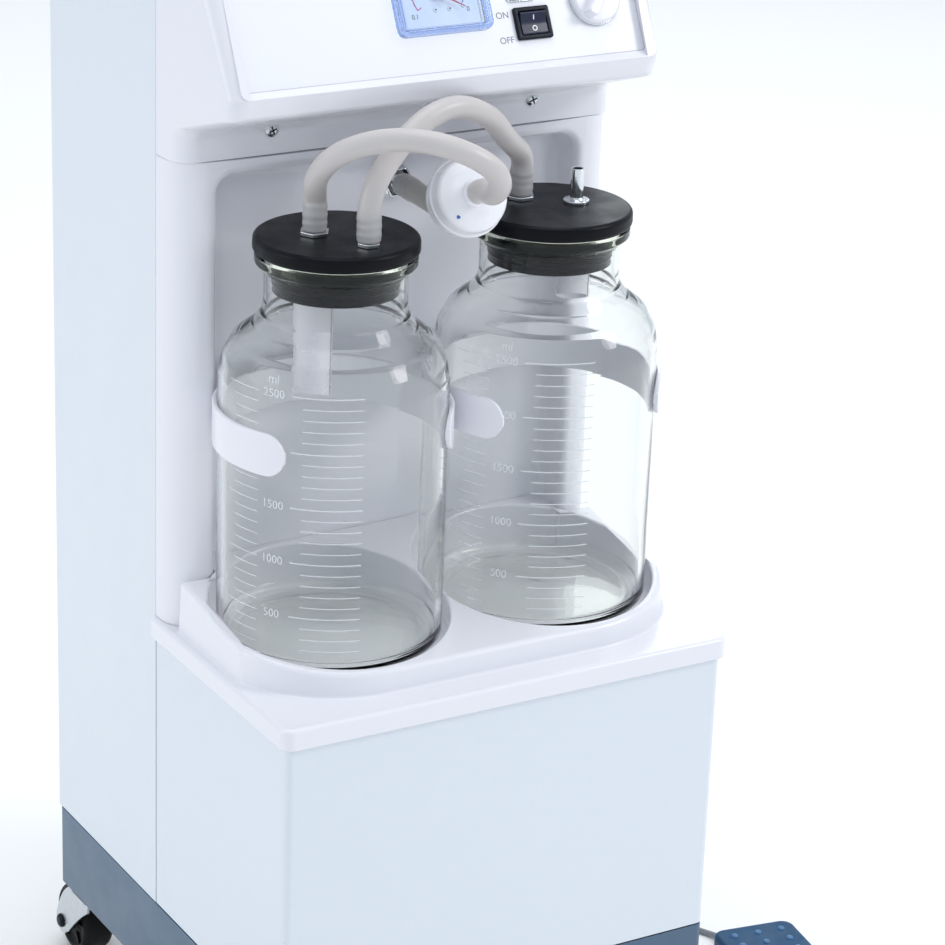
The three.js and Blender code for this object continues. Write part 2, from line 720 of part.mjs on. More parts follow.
for (const [side, sign] of [["left", -1], ["right", 1]]) {
  const at = (solid) => solid.translate([sign * JAR_X, JAR_Y, 0]);
  add(`jar_${side}`, at(jar()), GLASS, 0.05);
  add(`stopper_${side}`, at(stopper(fittings[side])), RUBBER, 0.45);
  add(`jar_clip_${side}`, at(jarClip()), WHITE_ABS, 0.3);
  for (const [name, x, y] of fittings[side]) {
    const solid = name === "patient_port" ? patientPort() : nipple();
    add(name, at(solid.translate([x, y, 0])), CHROME, 0.15, 1);
  }
}
const [, guardX, guardY] = fittings.left[0];
add(
  "guard_tube_left",
  guardTube(492, 12).translate([-JAR_X + guardX, JAR_Y + guardY, 0]),
  0xe4e2ea, 0.3,
);
const [, portX, portY] = fittings.right[1];
add(
  "guard_tube_right",
  guardTube(534, 10.5).translate([JAR_X + portX, JAR_Y + portY, 0]),
  0xe4e2ea, 0.3,
);

// ---------------------------------------------------------------- filter and hoses
const FILTER = { x: 3, y: -102, z: 618.4, r: 24.8, half: 14, port: 12 };
const FILTER_AXIS = new THREE.Vector3(-0.08, -0.89, 0.45).normalize();
const filterPoint = (along) => [
  FILTER.x + FILTER_AXIS.x * along,
  FILTER.y + FILTER_AXIS.y * along,
  FILTER.z + FILTER_AXIS.z * along,
];

function filterBody() {
  const { r, half, port } = FILTER;
  const profile = [
    [0, -half - port],
    [4, -half - port],
    [4.4, -half - 1],
    [r * 0.5, -half + 0.5],
    [r * 0.82, -half + 5],
    [r * 0.96, -half * 0.35],
    [r, 0],
    [r * 0.96, half * 0.35],
    [r * 0.82, half - 5],
    [r * 0.5, half - 0.5],
    [4.4, half + 1],
    [4, half + port],
    [0, half + port],
  ];
  const bores = [0, 180].map((turn) => (
    disc(2.2, half + 1, half + port + 2, 8).rotate([turn, 0, 0])
  ));
  const body = cut(turned(profile, 18), ...bores);
  const turnTo = new THREE.Quaternion().setFromUnitVectors(new THREE.Vector3(0, 0, 1), FILTER_AXIS);
  const matrix = new THREE.Matrix4().makeRotationFromQuaternion(turnTo);
  const geometry = toGeometry(body).applyMatrix4(matrix);
  return toSolid(geometry).translate([FILTER.x, FILTER.y, FILTER.z]);
}
add("filter", filterBody(), 0xf2f0f8, 0.35);

const HOSE_SEAT = LID_Z + GAP + 2.6; // lower end of a hose pushed on a nipple
const nippleAt = (side, index) => {
  const [, x, y] = fittings[side][index];
  return [(side === "left" ? -JAR_X : JAR_X) + x, JAR_Y + y];
};
const [rearX, rearY] = nippleAt("left", 0);
const [frontX, frontY] = nippleAt("left", 1);
const [rightX, rightY] = nippleAt("right", 0);

const filterHoseRoute = [
  [rearX, rearY, HOSE_SEAT],
  [rearX, rearY, HOSE_SEAT + 10],
  [rearX, rearY, HOSE_SEAT + 20],
  [-92, -87, 636],
  [-91, -99, 650],
  [-82.5, -112, 661],
  [-66, -128, 668.5],
  [-47, -146, 669.5],
  [-27, -156, 662.5],
  [-11, -157, 651.5],
  [-2.5, -150, 639.5],
  [-0.5, -138, 631],
  filterPoint(FILTER.half + 11),
  filterPoint(FILTER.half + 3.5),
];
add("hose_to_filter", tube(filterHoseRoute, HOSE_R, HOSE_BORE, 8, 20), SILICONE, 0.4);

const linkHoseRoute = [
  [frontX, frontY, HOSE_SEAT],
  [frontX, frontY, HOSE_SEAT + 10],
  [frontX, frontY, HOSE_SEAT + 20],
  [-65, -111, 636],
  [-55, -109, 650],
  [-41, -106, 662.5],
  [-23, -102, 672],
  [-3, -98, 674.5],
  [23, -90, 664],
  [45, -78, 644],
  [rightX - 2, rightY - 2.5, HOSE_SEAT + 25],
  [rightX, rightY, HOSE_SEAT + 12],
  [rightX, rightY, HOSE_SEAT],
];
add("hose_link", tube(linkHoseRoute, HOSE_R, HOSE_BORE, 8, 17), SILICONE, 0.4);

const WALL_FACE = -GAP - WALL; // front of the wall behind the jars
const wallHoseRoute = [
  filterPoint(-FILTER.half - 3.5),
  filterPoint(-FILTER.half - 15),
  [8, -62, 600.5],
  [9, -44, 600.5],
  [NIPPLE_WALL.x, WALL_FACE - 19, NIPPLE_WALL.z],
  [NIPPLE_WALL.x, WALL_FACE - 9.5, NIPPLE_WALL.z],
];
add("hose_wall", tube(wallHoseRoute, HOSE_R, HOSE_BORE, 8, 7), SILICONE, 0.4);

// Plated nipple with a hexagon nut, screwed into the wall behind the jars.
function wallNipple() {
  const body = turned([
    [1.8, -14],
    [4.9, -14],
    [4.9, GAP],
    [9, GAP],
    [9, 2],
    [6, 2],
    [6, 8],
    [3.7, 10],
    [4.3, 13],
    [3.7, 16],
    [3.4, 21],
    [1.8, 21],
    [1.8, -14],
  ], 12);
  const hex = cut(disc(9.5, 1, 7, 6), disc(5, 0, 9, 6));
  return join(body, hex).rotate([90, 0, 0]).translate([NIPPLE_WALL.x, WALL_FACE, NIPPLE_WALL.z]);
}
add("wall_nipple", wallNipple(), CHROME, 0.18, 1);

// ---------------------------------------------------------------- console controls
// The group lies on the face plate: x across, y up the slope, z out of it.
const face = new THREE.Group();
face.position.set(
  0,
  CONSOLE_Y + FACE_DEEP * Math.cos(TILT),
  CONSOLE_Z - FACE_DEEP * Math.sin(TILT),
);
face.rotation.x = Math.PI / 2 - TILT;
model.add(face);

const plateShape = roundedShape(-FACE_HALF, FACE_HALF, FACE_LOW, FACE_HIGH, 6.7);
add("face_plate", cut(prism(plateShape, -FACE_T, 0, 3), faceHoles(-8)), WHITE_ABS, 0.35, 0, face);

function centred(width, height, z0, z1, radius = 0) {
  return prism(roundedShape(-width / 2, width / 2, -height / 2, height / 2, radius), z0, z1, 2);
}

const gauge = new THREE.Group();
gauge.position.set(GAUGE.x, GAUGE.y, 0);
face.add(gauge);

// Case behind the panel with the dial plate standing in its mouth.
function gaugeBody() {
  const w = GAUGE.w - 9;
  const h = GAUGE.h - 9;
  const vents = [-12, 12].map((x) => disc(3, -30, -15, 10).translate([x, 0, 0]));
  const shell = cut(centred(w, h, -22, 0.6, 2), centred(w - 4, h - 4, -20, 5, 1), ...vents);
  return join(shell, centred(w - 3, h - 3, -2, -0.6), disc(2.5, -1, 1.2, 12));
}
add("gauge_body", gaugeBody(), 0xf3f4fa, 0.5, 0, gauge);

function gaugeLens() {
  const { w, h } = GAUGE;
  const outer = join(centred(w, h, GAP, 7, 4), centred(w - 2, h - 2, 6.9, 8, 3));
  return cut(outer, centred(w - 5, h - 5, GAP - 1, 5.8, 2.5));
}
add("gauge_lens", gaugeLens(), 0xbfd0fb, 0.08, 0, gauge);

function gaugeNeedle() {
  const hub = cut(disc(3.4, 1.5, 3.4, 12), disc(0.6, 1, 1.8, 6));
  const blade = box(-0.5, 0.5, 0, 19, 2, 2.8);
  const tail = box(-0.8, 0.8, -5, 0, 2, 2.8);
  return join(hub, blade, tail).rotate([0, 0, -120]);
}
add("gauge_needle", gaugeNeedle(), 0xb02030, 0.5, 0, gauge);

const rockerSwitch = new THREE.Group();
rockerSwitch.position.set(SWITCH.x, SWITCH.y, 0);
face.add(rockerSwitch);

function switchFrame() {
  const bezel = join(
    centred(SWITCH.w, SWITCH.h, GAP, 1.6, 1.5),
    centred(SWITCH.w - 1.2, SWITCH.h - 1.2, 1.5, 2.3, 1),
  );
  const body = centred(SWITCH.w - 3.6, SWITCH.h - 3.6, -24, 1);
  const mouth = centred(SWITCH.w - 6, SWITCH.h - 5, -12, 5, 0.5);
  const blades = [-6, 0, 6].map((y) => box(-0.4, 0.4, y - 2.4, y + 2.4, -31, -23.5));
  return join(cut(join(bezel, body), mouth), ...blades);
}
add("switch_frame", switchFrame(), 0x15171e, 0.4, 0, rockerSwitch);

const ROCKER_THROW = 7; // degrees each way from level
function rocker() {
  const w = SWITCH.w / 2 - 3.4;
  const l = SWITCH.h / 2 - 3.2;
  return prismX([[-l, -1], [-l * 0.6, -5.5], [l * 0.6, -5.5], [l, -1], [l, 3.4], [0, 2.1], [-l, 3.4]], -w, w);
}
const rockerMesh = add("switch_rocker", rocker(), 0x1b2036, 0.3, 0, rockerSwitch);
rockerMesh.rotation.x = (ROCKER_THROW * Math.PI) / 180;

const regulator = new THREE.Group();
regulator.position.set(KNOB.x, KNOB.y, 0);
face.add(regulator);

function knob() {
  const { r } = KNOB;
  const body = turned([
    [0, 0.8],
    [r, 0.8],
    [r, 3],
    [r - 1.2, 4],
    [r - 2.2, 15],
    [r - 3.6, 17],
    [0, 17],
  ], 24);
  const grips = Array.from({ length: 8 }, (_, i) => {
    const turn = (i / 8) * 2 * Math.PI;
    return disc(1.5, 6, 20, 6).translate([(r - 1) * Math.cos(turn), (r - 1) * Math.sin(turn), 0]);
  });
  const bore = disc(3.4, 0, 10, 10);
  return cut(body, ...grips, bore);
}
add("regulator_knob", knob(), 0xeceaf2, 0.3, 0, regulator);

function valve() {
  return join(
    turned([
      [0, -26],
      [11, -26],
      [11, -FACE_T - GAP - WALL - GAP],
      [4.1, -FACE_T - GAP - WALL - GAP],
      [4.1, 0.4],
      [3, 0.4],
      [3, 9.5],
      [0, 9.5],
    ], 12),
    box(-4, 4, -20, -8, -22, -15),
  );
}
add("regulator_valve", valve(), 0xc2a76a, 0.3, 1, regulator);

// ---------------------------------------------------------------- pump inside
const PUMP = { x: 0, y: -60, z: 140, r: 45, half: 52 };

function motor() {
  const { r, half } = PUMP;
  const body = turned([
    [0, -half],
    [14, -half],
    [r - 6, -half + 4],
    [r, -half + 10],
    [r, half - 10],
    [r - 6, half - 4],
    [14, half],
    [0, half],
  ], 20);
  const ribs = Array.from({ length: 6 }, (_, i) => box(-1, 1, r - 2, r + 3, -half + 14, half - 14)
    .rotate([0, 0, i * 60 + 30]));
  return join(body, ...ribs).rotate([0, 90, 0]).translate([PUMP.x, PUMP.y, PUMP.z]);
}
add("pump_motor", motor(), 0x8b9096, 0.4, 0.7);

function pumpHead() {
  const base = PUMP.z + PUMP.r + 3 + GAP;
  const block = box(-42, 42, -24, 24, base + 0.2, base + 20);
  const fins = [0, 1, 2].map((k) => box(-46, 46, -27, 27, base + 4 + k * 6, base + 6.5 + k * 6));
  const domes = [-22, 22].map((x) => turned([
    [0, base + 18], [18, base + 18], [18, base + 27], [14, base + 31], [0, base + 31],
  ], 14).translate([x, 0, 0]));
  const outlet = disc(4.4, base + 30, base + 46, 10).translate([22, 0, 0]);
  return join(block, ...fins, ...domes, outlet).translate([PUMP.x, PUMP.y, 0]);
}
add("pump_head", pumpHead(), 0xaab0b6, 0.35, 0.9);

function pumpCradle() {
  const top = PUMP.z - 12;
  const cradles = [-34, 34].map((x) => box(x - 4, x + 4, -38, 38, PAN_TOP + GAP, top));
  const plate = box(-60, 60, -44, 44, PAN_TOP + GAP, PAN_TOP + GAP + 4);
  const body = disc(PUMP.r + GAP + 0.2, -90, 90, 24).rotate([0, 90, 0]).translate([0, 0, PUMP.z]);
  const ribs = disc(PUMP.r + 3.6, -PUMP.half, PUMP.half, 24).rotate([0, 90, 0]).translate([0, 0, PUMP.z]);
  return cut(join(plate, ...cradles), body, ribs).translate([PUMP.x, PUMP.y, 0]);
}
add("pump_cradle", pumpCradle(), ZINC, 0.5, 0.8);

function capacitor() {
  const z = PAN_TOP + GAP;
  return join(
    turned([[0, z], [19, z], [19, z + 72], [17, z + 74], [0, z + 74]], 16),
    box(-5, -4, -3, 3, z + 73, z + 82),
    box(4, 5, -3, 3, z + 73, z + 82),
  ).translate([-95, 60, 0]);
}
add("capacitor", capacitor(), 0xd5d8dc, 0.35, 0.3);

// ---------------------------------------------------------------- casters
const FORK_TOP = BOSS_BOTTOM - GAP;
const FORK_IN = 16.6;
const FORK_T = 2.2;
const AXLE_R = 3;

// Pressed fork with its kingpin, nut and riveted axle; the wheel trails behind the kingpin.
function casterFork() {
  const side = new THREE.Shape();
  side.moveTo(-16, FORK_TOP);
  side.lineTo(-15, FORK_TOP - 8);
  side.quadraticCurveTo(2, 40, CASTER_TRAIL - 11, 21);
  side.absarc(CASTER_TRAIL, WHEEL_R, 9.5, -2.6, 0.5, false);
  side.quadraticCurveTo(30, 52, 14, FORK_TOP);
  const legGeometry = new THREE.ExtrudeGeometry(side, {
    depth: FORK_T, bevelEnabled: false, curveSegments: 4,
  });
  legGeometry.rotateX(Math.PI / 2);
  legGeometry.rotateZ(Math.PI / 2);
  const leg = toSolid(legGeometry);
  const crown = box(-FORK_IN - FORK_T, FORK_IN + FORK_T, -16, 14, FORK_TOP - 2.4, FORK_TOP);
  const across = (radius, half, sides) => (
    disc(radius, -half, half, sides).rotate([0, 90, 0]).translate([0, CASTER_TRAIL, WHEEL_R])
  );
  return join(
    leg.translate([FORK_IN, 0, 0]),
    leg.translate([-FORK_IN - FORK_T, 0, 0]),
    crown,
    disc(14, FORK_TOP - 6, FORK_TOP - 2, 12),
    disc(KINGPIN_R, FORK_TOP - 3, PAN_TOP + 7, 10),
    disc(9, PAN_TOP + GAP, PAN_TOP + 5.5, 6),
    across(AXLE_R, FORK_IN + 1, 10),
    cut(across(5, FORK_IN + FORK_T + 1.2, 10), across(6, FORK_IN + 1, 10)),
  );
}

function casterWheel() {
  return turned([
    [AXLE_R + GAP, -15.6],
    [7, -15.6],
    [8, -11],
    [WHEEL_R - 3, -13],
    [WHEEL_R, -9],
    [WHEEL_R, 9],
    [WHEEL_R - 3, 13],
    [8, 11],
    [7, 15.6],
    [AXLE_R + GAP, 15.6],
    [AXLE_R + GAP, -15.6],
  ], 16).rotate([0, 90, 0]).translate([0, CASTER_TRAIL, WHEEL_R]);
}

for (const [name, x, y] of casters) {
  add(`caster_fork_${name}`, casterFork().translate([x, y, 0]), ZINC, 0.3, 0.9);
  add(`caster_wheel_${name}`, casterWheel().translate([x, y, 0]), BLACK, 0.5);
}

// ---------------------------------------------------------------- foot switch
const foot = new THREE.Group();
foot.position.set(PEDAL.x, PEDAL.y, 0);
foot.rotation.z = (PEDAL.turn * Math.PI) / 180;
model.add(foot);

const HINGE = { y: PEDAL.l / 2 - 16, z: 9 };
const GLAND_X = -6;
const FOOT_FLOOR = 3;

function footBase() {
  const w = PEDAL.w - 7;
  const l = PEDAL.l - 7;
  const tub = cut(centred(w, l, 0, 14, 8), centred(w - 4, l - 4, FOOT_FLOOR, 20, 6));
  const posts = [-1, 1].map((side) => (
    box(side * 18 - 2, side * 18 + 2, HINGE.y - 4, HINGE.y + 3, FOOT_FLOOR - 1, HINGE.z + 4)
  ));
  const snap = box(-7, 7, -12, 12, FOOT_FLOOR - 1, 12);
  const pin = disc(2.4, -60, 60, 10).rotate([0, 90, 0]).translate([0, HINGE.y, HINGE.z]);
  const gland = disc(3.5, 40, 60, 10).rotate([-90, 0, 0]).translate([GLAND_X, 0, 8]);
  return cut(join(tub, ...posts, snap), pin, gland);
}
add("foot_base", footBase(), 0x2c3e5c, 0.55, 0, foot);

// The pedal is a cover over the base, hinged near the cable end.
function footPedal() {
  const { w, l, top } = PEDAL;
  const rows = [
    [0, 10, 0],
    [0, top - 5, 0],
    [1.2, top - 1.6, 1.2],
    [4, top, 4],
  ];
  const outer = rows.slice(1).reduce(
    (sum, [inset, z], index) => join(sum, centred(w - 2 * inset, l - 2 * inset, 9, z, 9 - inset * 0.6)),
    centred(w, l, 9, top - 6, 9),
  );
  const inner = centred(w - 5, l - 5, 5, top - 4, 7);
  const ears = [-1, 1].map((side) => (
    box(side * 23 - 1.5, side * 23 + 1.5, HINGE.y - 4, HINGE.y + 3, HINGE.z - 3, top - 3)
  ));
  const pin = disc(2.6, -60, 60, 10).rotate([0, 90, 0]).translate([0, HINGE.y, HINGE.z]);
  const cableDoor = box(GLAND_X - 6, GLAND_X + 6, l / 2 - 6, l / 2 + 5, 0, 15);
  return cut(join(cut(outer, inner), ...ears), pin, cableDoor);
}
add("foot_pedal", footPedal(), STEEL_BLUE, 0.45, 0, foot);

const pinSolid = disc(2, -26, 26, 10).rotate([0, 90, 0]).translate([0, HINGE.y, HINGE.z]);
add("foot_hinge_pin", pinSolid, ZINC, 0.3, 0.9, foot);

// ---------------------------------------------------------------- cable of the foot switch
// Ribbed strain relief on the z axis, wide end at z = 0.
function strainRelief() {
  return turned([
    [CABLE_R + 0.5, -7],
    [3.2, -7],
    [3.2, 0],
    [5.2, 0],
    [5.2, 2.4],
    [4, 3],
    [3.6, 11],
    [3, 20],
    [CABLE_R + 0.5, 20],
    [CABLE_R + 0.5, -7],
  ], 12);
}
const footTurn = (PEDAL.turn * Math.PI) / 180;
const BASE_BACK = (PEDAL.l - 7) / 2;
const footPoint = (x, y, z) => [
  PEDAL.x + x * Math.cos(footTurn) - y * Math.sin(footTurn),
  PEDAL.y + x * Math.sin(footTurn) + y * Math.cos(footTurn),
  z,
];
const footGland = strainRelief().rotate([-90, 0, 0]).translate([GLAND_X, BASE_BACK + GAP, 8]);
add("foot_gland", footGland, BLACK, 0.5, 0, foot);
const rearGland = strainRelief().rotate([-90, 0, 0]);
add(
  "cable_gland",
  rearGland.translate([CABLE_EXIT.x, BACK + GAP, CABLE_EXIT.z]),
  BLACK, 0.5,
);

const COIL_OUT = COIL.r + COIL.half;
const FLOOR = CABLE_R + 0.1; // height of a cable's middle where it lies on the floor
const GLAND_TIP = BACK + GAP + 20;

// From the cabinet's gland down to the floor and round to the coil.
const cableFromCabinet = [
  [CABLE_EXIT.x, GLAND_TIP - 5, CABLE_EXIT.z],
  [CABLE_EXIT.x, GLAND_TIP + 5, CABLE_EXIT.z - 0.6],
  [CABLE_EXIT.x, GLAND_TIP + 16, CABLE_EXIT.z - 9],
  [CABLE_EXIT.x, GLAND_TIP + 22, CABLE_EXIT.z - 26],
  [CABLE_EXIT.x, GLAND_TIP + 23, 96],
  [CABLE_EXIT.x, GLAND_TIP + 22, 66],
  [CABLE_EXIT.x, GLAND_TIP + 23, 36],
  [CABLE_EXIT.x + 0.8, GLAND_TIP + 28, 15],
  [CABLE_EXIT.x + 3, GLAND_TIP + 37, 5],
  [CABLE_EXIT.x + 9.5, GLAND_TIP + 46.2, FLOOR],
  [COIL.x - 21, COIL.y - 30.7, FLOOR],
  [COIL.x - 9, COIL.y - 28.9, FLOOR],
];

// From the coil along the floor to the foot switch.
const cableToFoot = [
  [COIL.x + 18.4, COIL.y - 29.5, FLOOR],
  [COIL.x + 34, COIL.y - 28.5, FLOOR],
  [COIL.x + 70, COIL.y - 28, FLOOR],
  [COIL.x + 110, COIL.y - 42, FLOOR],
  [COIL.x + 144, COIL.y - 76, FLOOR],
  [226, 138, FLOOR],
  [243, 82, FLOOR],
  [257, 36, FLOOR],
  [267, 4, FLOOR],
  [275, -16, FLOOR + 0.2],
  footPoint(GLAND_X - 0.6, BASE_BACK + 39, 3.4),
  footPoint(GLAND_X, BASE_BACK + 31, 5.6),
  footPoint(GLAND_X, BASE_BACK + 23, 7.9),
  footPoint(GLAND_X, BASE_BACK + 14, 8),
];
add("foot_cable_rear", tube(cableFromCabinet, CABLE_R, 0, 8, 20), CABLE_GREY, 0.5);
add("foot_cable_floor", tube(cableToFoot, CABLE_R, 0, 8, 38), CABLE_GREY, 0.5);

const coil = turned([
  [COIL.r - COIL.half, 0.1],
  [COIL_OUT, 0.1],
  [COIL_OUT, 2 * COIL.half],
  [COIL.r - COIL.half, 2 * COIL.half],
  [COIL.r - COIL.half, 0.1],
], 24);
add("foot_cable_coil", coil.translate([COIL.x, COIL.y, 0]), CABLE_GREY, 0.5);

// The origin is on the floor, in the middle of everything but the cable.
const bounds = new THREE.Box3();
part.updateMatrixWorld(true);
part.traverse((piece) => {
  if (piece.isMesh && !piece.name.startsWith("foot_cable")) bounds.expandByObject(piece, true);
});
const middle = bounds.getCenter(new THREE.Vector3());
model.position.set(-middle.x, -middle.y, 0);

export default part;
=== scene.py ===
"""Looks for the electric suction pump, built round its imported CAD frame. Metres, +Z up, front to -Y."""
import math

import bmesh
import bpy
from mathutils import Matrix, Vector
from mathutils.geometry import tessellate_polygon

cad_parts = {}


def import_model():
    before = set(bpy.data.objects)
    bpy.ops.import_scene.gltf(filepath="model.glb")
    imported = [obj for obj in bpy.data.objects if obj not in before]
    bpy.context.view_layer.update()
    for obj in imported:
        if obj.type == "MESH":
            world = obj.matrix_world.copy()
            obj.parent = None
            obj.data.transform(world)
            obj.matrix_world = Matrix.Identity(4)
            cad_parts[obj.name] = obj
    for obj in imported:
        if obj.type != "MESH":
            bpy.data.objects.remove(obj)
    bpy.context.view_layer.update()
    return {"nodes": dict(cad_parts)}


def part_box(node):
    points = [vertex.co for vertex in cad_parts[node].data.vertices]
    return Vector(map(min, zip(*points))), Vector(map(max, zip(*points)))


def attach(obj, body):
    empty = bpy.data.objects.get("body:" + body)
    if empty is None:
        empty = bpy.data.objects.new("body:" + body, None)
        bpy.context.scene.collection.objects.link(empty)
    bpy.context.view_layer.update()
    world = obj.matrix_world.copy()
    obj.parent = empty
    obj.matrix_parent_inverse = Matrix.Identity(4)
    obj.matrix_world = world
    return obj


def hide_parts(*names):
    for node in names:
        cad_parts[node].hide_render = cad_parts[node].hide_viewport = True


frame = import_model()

# ---- places and sizes
# Shapes are in the cabinet's own millimetres: x = 0 its middle, y = 0 the side seam, z = 0 the floor.
MM = 0.001
HALF_W = 156  # half the cabinet's width
BACK = 159
SHEET = 1.5  # thickness of the steel
OFFSET = Vector((
    (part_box("side_panel_left")[0].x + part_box("side_panel_right")[1].x) / 2 / MM,
    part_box("rear_panel")[1].y / MM - BACK,
    0,
))
GAP = 0.3  # between parts that meet
SEAM_Z = 636.5  # joint between the two front mouldings
CAP_Z = 790  # joint between the panels and the top cap
CAP_FRONT = -37.94  # where the console's slope reaches the cap
TOP_Z = 815
FRONT_PLANE = -28  # flat front of the upright moulding
BOX_FRONT = -184.5
SKIRT_Z = (64, 122.8)
BOX_Z = (123.8, 325.7)
TRAY_TOP = 331
TRAY_LIP = 317
JAR_X = 75.5
JAR_Y = -83.7
JAR_R = 71
HOSE_R = 7
CABLE_R = 2
CONSOLE_TILT = math.radians(27.5)
CONSOLE_FOOT = Vector((0, -90, 690))
FACE_DEEP = 5  # the plate lies this far under the console's face
KNOB_AT = (109.4, 41.1)  # x and the way up the slope, as for the next two
SWITCH_AT = (62.7, 29.4)
GAUGE_AT = (1.2, 52.8)
FOOT_AT = Vector((273.9, -116.5, 0))
FOOT_TURN = math.radians(-9)

ROUND = 96  # sides of a turned piece


def world(point):
    """A point of the cabinet's millimetres in the frame's metres."""
    return (Vector(point) + OFFSET) * MM


def console_matrix(depth=FACE_DEEP):
    """x across, y up the slope, z out of the console; depth is how far under its face the plane lies."""
    out = Vector((0, -math.cos(CONSOLE_TILT), math.sin(CONSOLE_TILT)))
    turn = Matrix.Rotation(math.pi / 2 - CONSOLE_TILT, 4, "X")
    return Matrix.Translation(CONSOLE_FOOT - out * depth) @ turn


FOOT = Matrix.Translation(FOOT_AT) @ Matrix.Rotation(FOOT_TURN, 4, "Z")


# ---- materials
class Shader:
    """A material's nodes, with short ways to add patterns in the object's own metres."""

    def __init__(self, name, color, roughness, **sockets):
        self.material = bpy.data.materials.new(name)
        self.material.use_nodes = True
        self.nodes = self.material.node_tree.nodes
        self.links = self.material.node_tree.links
        self.bsdf = next(n for n in self.nodes if n.type == "BSDF_PRINCIPLED")
        self.output = next(n for n in self.nodes if n.type == "OUTPUT_MATERIAL")
        self.color = (*color, 1)
        self.bsdf.inputs["Base Color"].default_value = self.color
        self.bsdf.inputs["Roughness"].default_value = roughness
        for key, value in sockets.items():
            self.bsdf.inputs[key.replace("_", " ")].default_value = value
        self.place = self.nodes.new("ShaderNodeTexCoord").outputs["Object"]
        self.material.diffuse_color = self.color

    def noise(self, scale, detail=3, stretch=(1, 1, 1)):
        """Noise with about `scale` lumps to the metre."""
        mapping = self.nodes.new("ShaderNodeMapping")
        mapping.inputs["Scale"].default_value = stretch
        self.links.new(self.place, mapping.inputs["Vector"])
        noise = self.nodes.new("ShaderNodeTexNoise")
        noise.inputs["Scale"].default_value = scale
        noise.inputs["Detail"].default_value = detail
        self.links.new(mapping.outputs[0], noise.inputs["Vector"])
        return noise.outputs["Fac"]

    def ramp(self, value, low, high, to_low=0.0, to_high=1.0):
        node = self.nodes.new("ShaderNodeMapRange")
        node.interpolation_type = "SMOOTHSTEP"
        ends = {"From Min": low, "From Max": high, "To Min": to_low, "To Max": to_high}
        for key, number in ends.items():
            node.inputs[key].default_value = number
        self.links.new(value, node.inputs["Value"])
        return node.outputs["Result"]

    def tint(self, share, color):
        """Mixes `color` into the base colour by `share`, which is a socket."""
        mix = self.nodes.new("ShaderNodeMix")
        mix.data_type = "RGBA"
        base = self.bsdf.inputs["Base Color"]
        if base.is_linked:
            self.links.new(base.links[0].from_socket, mix.inputs["A"])
        else:
            mix.inputs["A"].default_value = base.default_value
        mix.inputs["B"].default_value = (*color, 1)
        self.links.new(share, mix.inputs["Factor"])
        self.links.new(mix.outputs["Result"], base)
        return self

    def gloss(self, value, low, high):
        self.links.new(self.ramp(value, 0.3, 0.7, low, high), self.bsdf.inputs["Roughness"])
        return self

    def bump(self, value, strength, distance):
        bump = self.nodes.new("ShaderNodeBump")
        bump.inputs["Strength"].default_value = strength
        bump.inputs["Distance"].default_value = distance
        normal = self.bsdf.inputs["Normal"]
        if normal.is_linked:
            self.links.new(normal.links[0].from_socket, bump.inputs["Normal"])
        self.links.new(value, bump.inputs["Height"])
        self.links.new(bump.outputs["Normal"], normal)
        return self

    def height(self):
        """The z of the surface, in metres."""
        split = self.nodes.new("ShaderNodeSeparateXYZ")
        self.links.new(self.place, split.inputs[0])
        return split.outputs["Z"]

    def attribute(self, name):
        node = self.nodes.new("ShaderNodeAttribute")
        node.attribute_name = name
        return node.outputs["Fac"]

    def lets_lamps_through(self, share):
        """Rays from lamps pass this surface with `share` of their light, as through thin clear walls."""
        path = self.nodes.new("ShaderNodeLightPath")
        clear = self.nodes.new("ShaderNodeBsdfTransparent")
        clear.inputs["Color"].default_value = (share, share, share, 1)
        either = self.nodes.new("ShaderNodeMath")
        either.operation = "MAXIMUM"
        self.links.new(path.outputs["Is Shadow Ray"], either.inputs[0])
        self.links.new(path.outputs["Is Diffuse Ray"], either.inputs[1])
        mix = self.nodes.new("ShaderNodeMixShader")
        self.links.new(either.outputs[0], mix.inputs["Fac"])
        self.links.new(self.bsdf.outputs[0], mix.inputs[1])
        self.links.new(clear.outputs[0], mix.inputs[2])
        self.links.new(mix.outputs[0], self.output.inputs["Surface"])
        return self


def powder_coat(name, color, dust):
    """Satin powder coat on steel: orange peel, cloudy gloss and a little dust low down."""
    s = Shader(name, color, 0.36, Coat_Weight=0.25, Coat_Roughness=0.18)
    s.tint(s.ramp(s.noise(4, 2), 0.35, 0.75, 0.0, 0.5), tuple(c * 0.97 for c in color))
    s.tint(s.ramp(s.height(), 0.12, 0.06, 0.0, 0.2), dust)
    s.gloss(s.noise(30, 4), 0.3, 0.42)
    s.bump(s.noise(520, 2), 0.14, 0.0004)
    return s.material


def moulded(name, color, grain=420, shade=0.996, gloss=(0.25, 0.27)):
    """Glossy moulded plastic: barely visible flow marks and a fine skin."""
    s = Shader(name, color, 0.3, Coat_Weight=0.3, Coat_Roughness=0.1, IOR=1.48)
    s.tint(s.ramp(s.noise(6, 2, (1, 1, 0.4)), 0.35, 0.7), tuple(c * shade for c in color))
    s.gloss(s.noise(30, 2), *gloss)
    s.bump(s.noise(grain, 1), 0.035, 0.0002)
    return s.material


def rubber(name, color):
    """Moulded black rubber with bloom, fine pits and rubbed streaks."""
    s = Shader(name, color, 0.4, IOR=1.4, Specular_IOR_Level=0.2)
    s.tint(s.ramp(s.noise(38, 6), 0.45, 0.75, 0.0, 0.4), (0.008, 0.009, 0.013))
    s.tint(s.ramp(s.noise(900, 3), 0.7, 0.8, 0.0, 0.3), (0.02, 0.02, 0.026))
    s.gloss(s.noise(45, 5), 0.28, 0.42)
    s.bump(s.noise(520, 2), 0.06, 0.0002)
    return s.material


